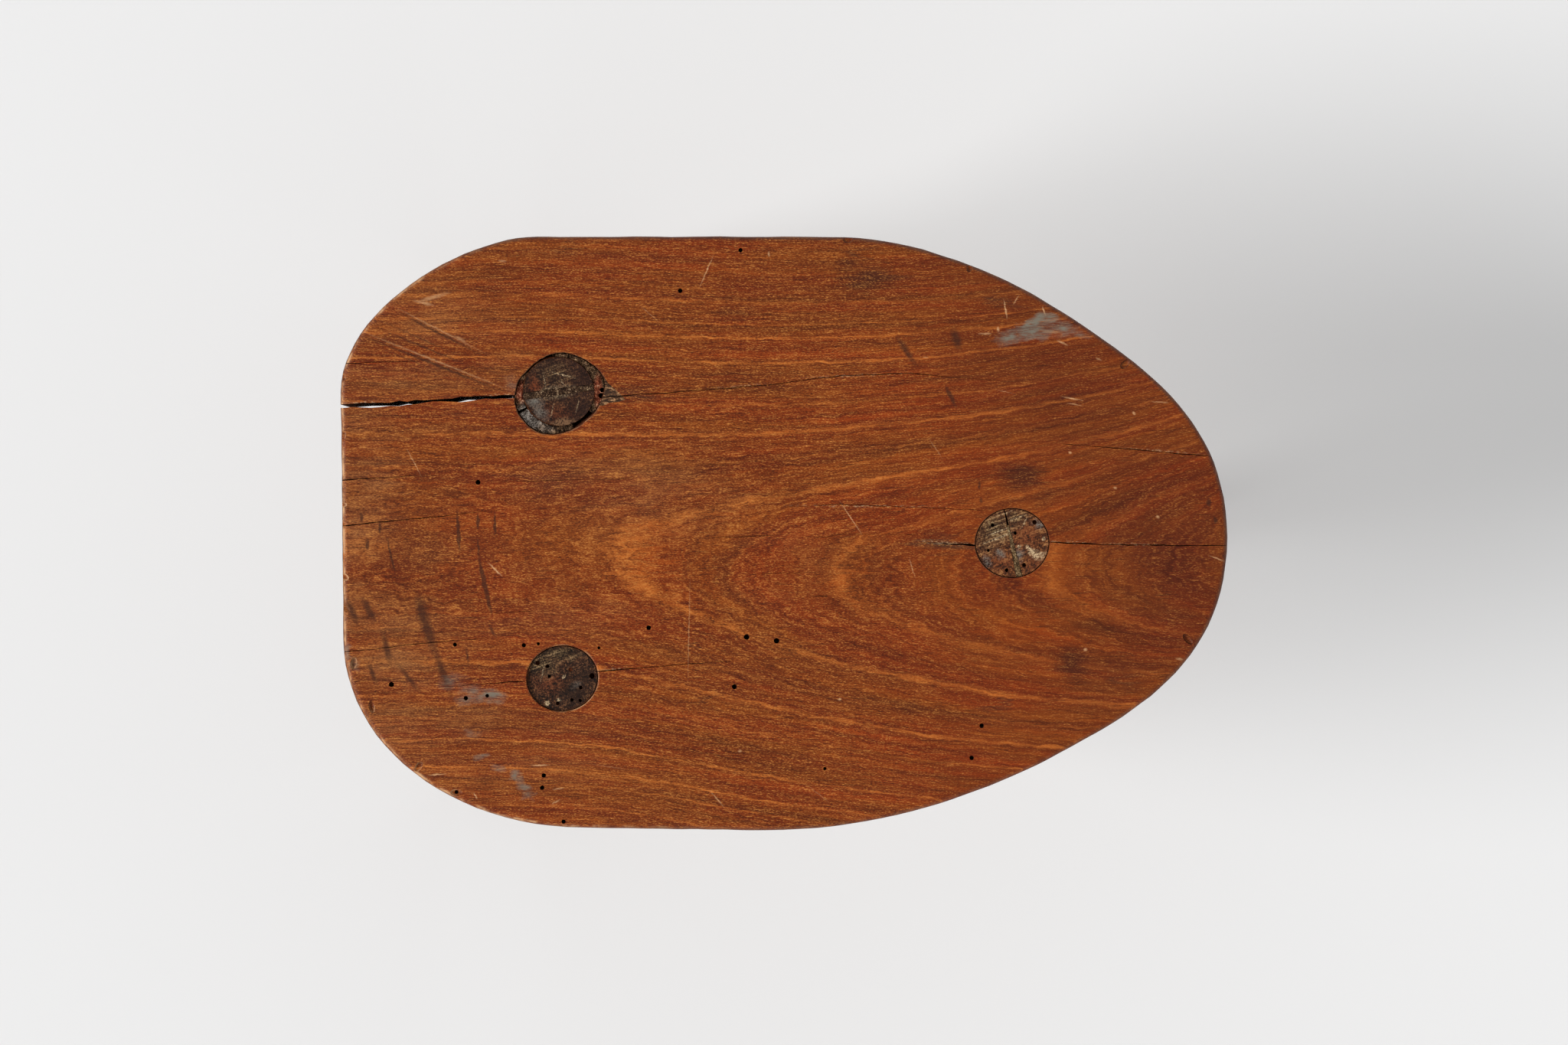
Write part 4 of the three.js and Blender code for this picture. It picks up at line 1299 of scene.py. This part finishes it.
def crumble(piece, level, loss, seed):
    """Remesh a small piece finely and break its top down unevenly, most where its fibres are weakest."""
    take(piece)
    fine = piece.modifiers.new("fine", "REMESH")
    fine.mode = "VOXEL"
    fine.voxel_size = crumb_size * MM
    bpy.ops.object.modifier_apply(modifier=fine.name)
    for vertex in piece.data.vertices:
        x, y, z = vertex.co / MM
        near_top = max(0, min(1, (z - level + crumbling_depth) / crumbling_depth))
        broad = noise.noise(Vector((x / 3.2, y / 3.2, seed)))
        close = noise.noise(Vector((x / 0.8, y / 0.8, z / 3 + seed)))
        vertex.co.z -= loss * near_top * max(0, 0.55 + 0.8 * broad + 0.7 * close) * MM


def make_wedge(name, joint, cut):
    """Fill a kerf from its thick side to where it is too thin, and trim the wedge to the tenon's round."""
    reach = joint["diameter"] / 2 + kerf_past_end
    share = min(1, (cut["thick"] - cut["least"]) / (cut["thick"] - cut["thin"]))
    end = joint["diameter"] * (share - 0.5)
    wedge = wedge_block(joint, cut, -reach, end, cut["depth"])
    wedge.name = name
    carve(wedge, tenon_cone(joint), "INTERSECT")
    top = seat_top - joint["sunk"]
    saw_level(wedge, top, -1)
    crumble(wedge, top, loss=0.6, seed=joint["diameter"])
    wedge.data.materials.clear()
    wedge.data.materials.append(wedge_wood)
    return wedge


wedge_wood = bpy.data.materials.new("crumbling wedge wood")
nose_wedge = make_wedge("nose_wedge_split", nose_joint, nose_wedge_cut)
rear_left_wedge = make_wedge("rear_left_wedge_split", rear_left_joint, rear_wedge_cut)
finish_piece(nose_wedge, "nose_wedge")
finish_piece(rear_left_wedge, "rear_left_wedge")

# Wedges: dry split wood, gone pale and crumbly, with dirt in the breaks
coat = Finish(wedge_wood)
crumbs = coat.cloud(0.6, 0.45, 0.8, detail=3, roughness=0.75)
lumps = coat.cloud(2.6, 2.6, 2.6)
shade = 0.5 + crumbs * 2.0 + lumps * 1.0
dark_crumbs = coat.shades(
    shade, (0.15, 14, 8, 5), (0.45, 52, 33, 22), (0.65, 94, 68, 47), (0.9, 186, 160, 126),
)
pale_crumbs = coat.shades(
    shade, (0.15, 30, 20, 13), (0.42, 82, 60, 38), (0.65, 136, 108, 72), (0.9, 212, 188, 148),
)
colour = coat.mix(coat.fade(coat.x, -20, 20), dark_crumbs, pale_crumbs)
coat.seal(colour, 0.85, crumbs, 0.5, specular=0.12)

# Three tapered slips pack the worn mouth round the rear left tenon. Each was split from a stick and
# driven in, between two directions counted in degrees from the nose towards the left side. A third
# number says how far each has sunk below the seat.
slips = {
    "front": (-32, 98, 0.9),
    "back": (148, 206, 0.7),
    "inner": (210, 292, 1.1),
}
slip_depth = 24
slip_room = 0.1


def split_slip(side, start, end, sunk):
    """Cut the worn mouth's own shape down to one slip beside the tenon."""
    slip = worn_mouth(clearance)
    slip.name = side + "_packing_slip_split"
    carve(slip, tenon_cone(rear_left_joint, slip_room))
    top, foot, lean = leg_line(rear_left_joint)
    for angle, outwards in ((start, -1), (end, 1)):
        edge = math.radians(angle)
        saw(slip, top, lean @ (Vector((-math.sin(edge), math.cos(edge), 0)) * outwards), -1)
    saw(slip, top - (top - foot).normalized() * slip_depth * MM, foot - top, -1)
    saw_level(slip, seat_top - sunk, -1)
    crumble(slip, seat_top - sunk, loss=1.1, seed=start)
    slip.data.materials.clear()
    slip.data.materials.append(slip_wood)
    return slip


slip_wood = bpy.data.materials.new("split slip wood")
packing = {side: split_slip(side, *cut) for side, cut in slips.items()}
slip_holes = [(-75.7, 59.8, 2.0), (-76.2, 57.4, 2.3)]
bore(packing["front"], *[auger(x, y, seat_top, width, lean=0) for x, y, width in slip_holes])
for side, slip in packing.items():
    finish_piece(slip, side + "_packing_slip")

# Slips: rough split slips of a redder wood, dry and fibrous, one whitened with old paint
coat = Finish(slip_wood)
shreds = coat.cloud(0.5, 0.5, 3, detail=3, roughness=0.75)
tufts = coat.cloud(2.2, 2.2, 2.2, detail=3)
shade = 0.5 + shreds * 1.9 + tufts * 1.2
brown_shreds = coat.shades(
    shade, (0.15, 16, 9, 6), (0.42, 54, 36, 24), (0.62, 94, 68, 45), (0.9, 190, 154, 118),
)
red_shreds = coat.shades(
    shade, (0.15, 28, 12, 8), (0.45, 104, 42, 24), (0.7, 156, 84, 54), (0.95, 220, 170, 140),
)
red_slips = [(-77.5, 59, 2.6, 9, 0, 2.0), (-109.6, 59, 3.4, 6, 0, 1.8)]
reddened = coat.math("MINIMUM", coat.spots(red_slips, coat.bent(2, 2, 3, 3)), 0.9)
coat.colour = coat.mix(reddened, brown_shreds, red_shreds)
painted_slips = [(-105, 49, 9, 8, 40, 2.0), (-100, 44, 6, 4, 0, 0.6)]
whitened = coat.math("MINIMUM", coat.spots(painted_slips, coat.bent(3, 3, 2, 2)), 1)
coat.lay(whitened * coat.fade(shade, 0.46, 0.66, 0.15, 0.85), 164, 158, 150)
coat.seal(coat.colour, 0.85, shreds, 0.5, specular=0.12)

# The studio: a pale paper floor, one broad, soft and low window beyond the seat's rear edge, and white
# light from the room all round.
put_down()
bpy.ops.mesh.primitive_plane_add(size=60, location=(0, 0, 0))
floor = bpy.context.object
floor.name = "floor"
paper = bpy.data.materials.new("pale paper floor")
paper.use_nodes = True
sheen = paper.node_tree.nodes["Principled BSDF"].inputs
sheen["Base Color"].default_value = (0.80, 0.80, 0.80, 1)
sheen["Roughness"].default_value = 0.9
sheen["Specular IOR Level"].default_value = 0.1
floor.data.materials.append(paper)

# The room is brighter towards the horizon than overhead
room = bpy.data.worlds.new("room")
room.use_nodes = True
sky = room.node_tree.nodes
links = room.node_tree.links
direction = sky.new("ShaderNodeTexCoord")
height = sky.new("ShaderNodeSeparateXYZ")
links.new(direction.outputs["Generated"], height.inputs["Vector"])
squared = sky.new("ShaderNodeMath")
squared.operation = "MULTIPLY"
links.new(height.outputs["Z"], squared.inputs[0])
links.new(height.outputs["Z"], squared.inputs[1])
brightness = sky.new("ShaderNodeMapRange")
links.new(squared.outputs["Value"], brightness.inputs["Value"])
brightness.inputs["To Min"].default_value = 1.25
brightness.inputs["To Max"].default_value = 0.10
links.new(brightness.outputs["Result"], sky["Background"].inputs["Strength"])
sky["Background"].inputs["Color"].default_value = (1, 1, 1, 1)
bpy.context.scene.world = room

window = bpy.data.lights.new("window", "SUN")
window.energy = 2.28
window.angle = math.radians(25)
daylight = bpy.data.objects.new("window", window)
bpy.context.scene.collection.objects.link(daylight)
daylight.rotation_euler = (0, math.radians(-54), math.radians(10))

# The camera looks straight down from above the seat
camera_data = bpy.data.cameras.new("camera")
camera = bpy.data.objects.new("camera", camera_data)
bpy.context.scene.collection.objects.link(camera)
camera.location = (0, 0.0046, 1.84)
camera_data.lens = 85
camera_data.sensor_width = 36
bpy.context.scene.camera = camera
bpy.context.scene.view_settings.view_transform = "Standard"
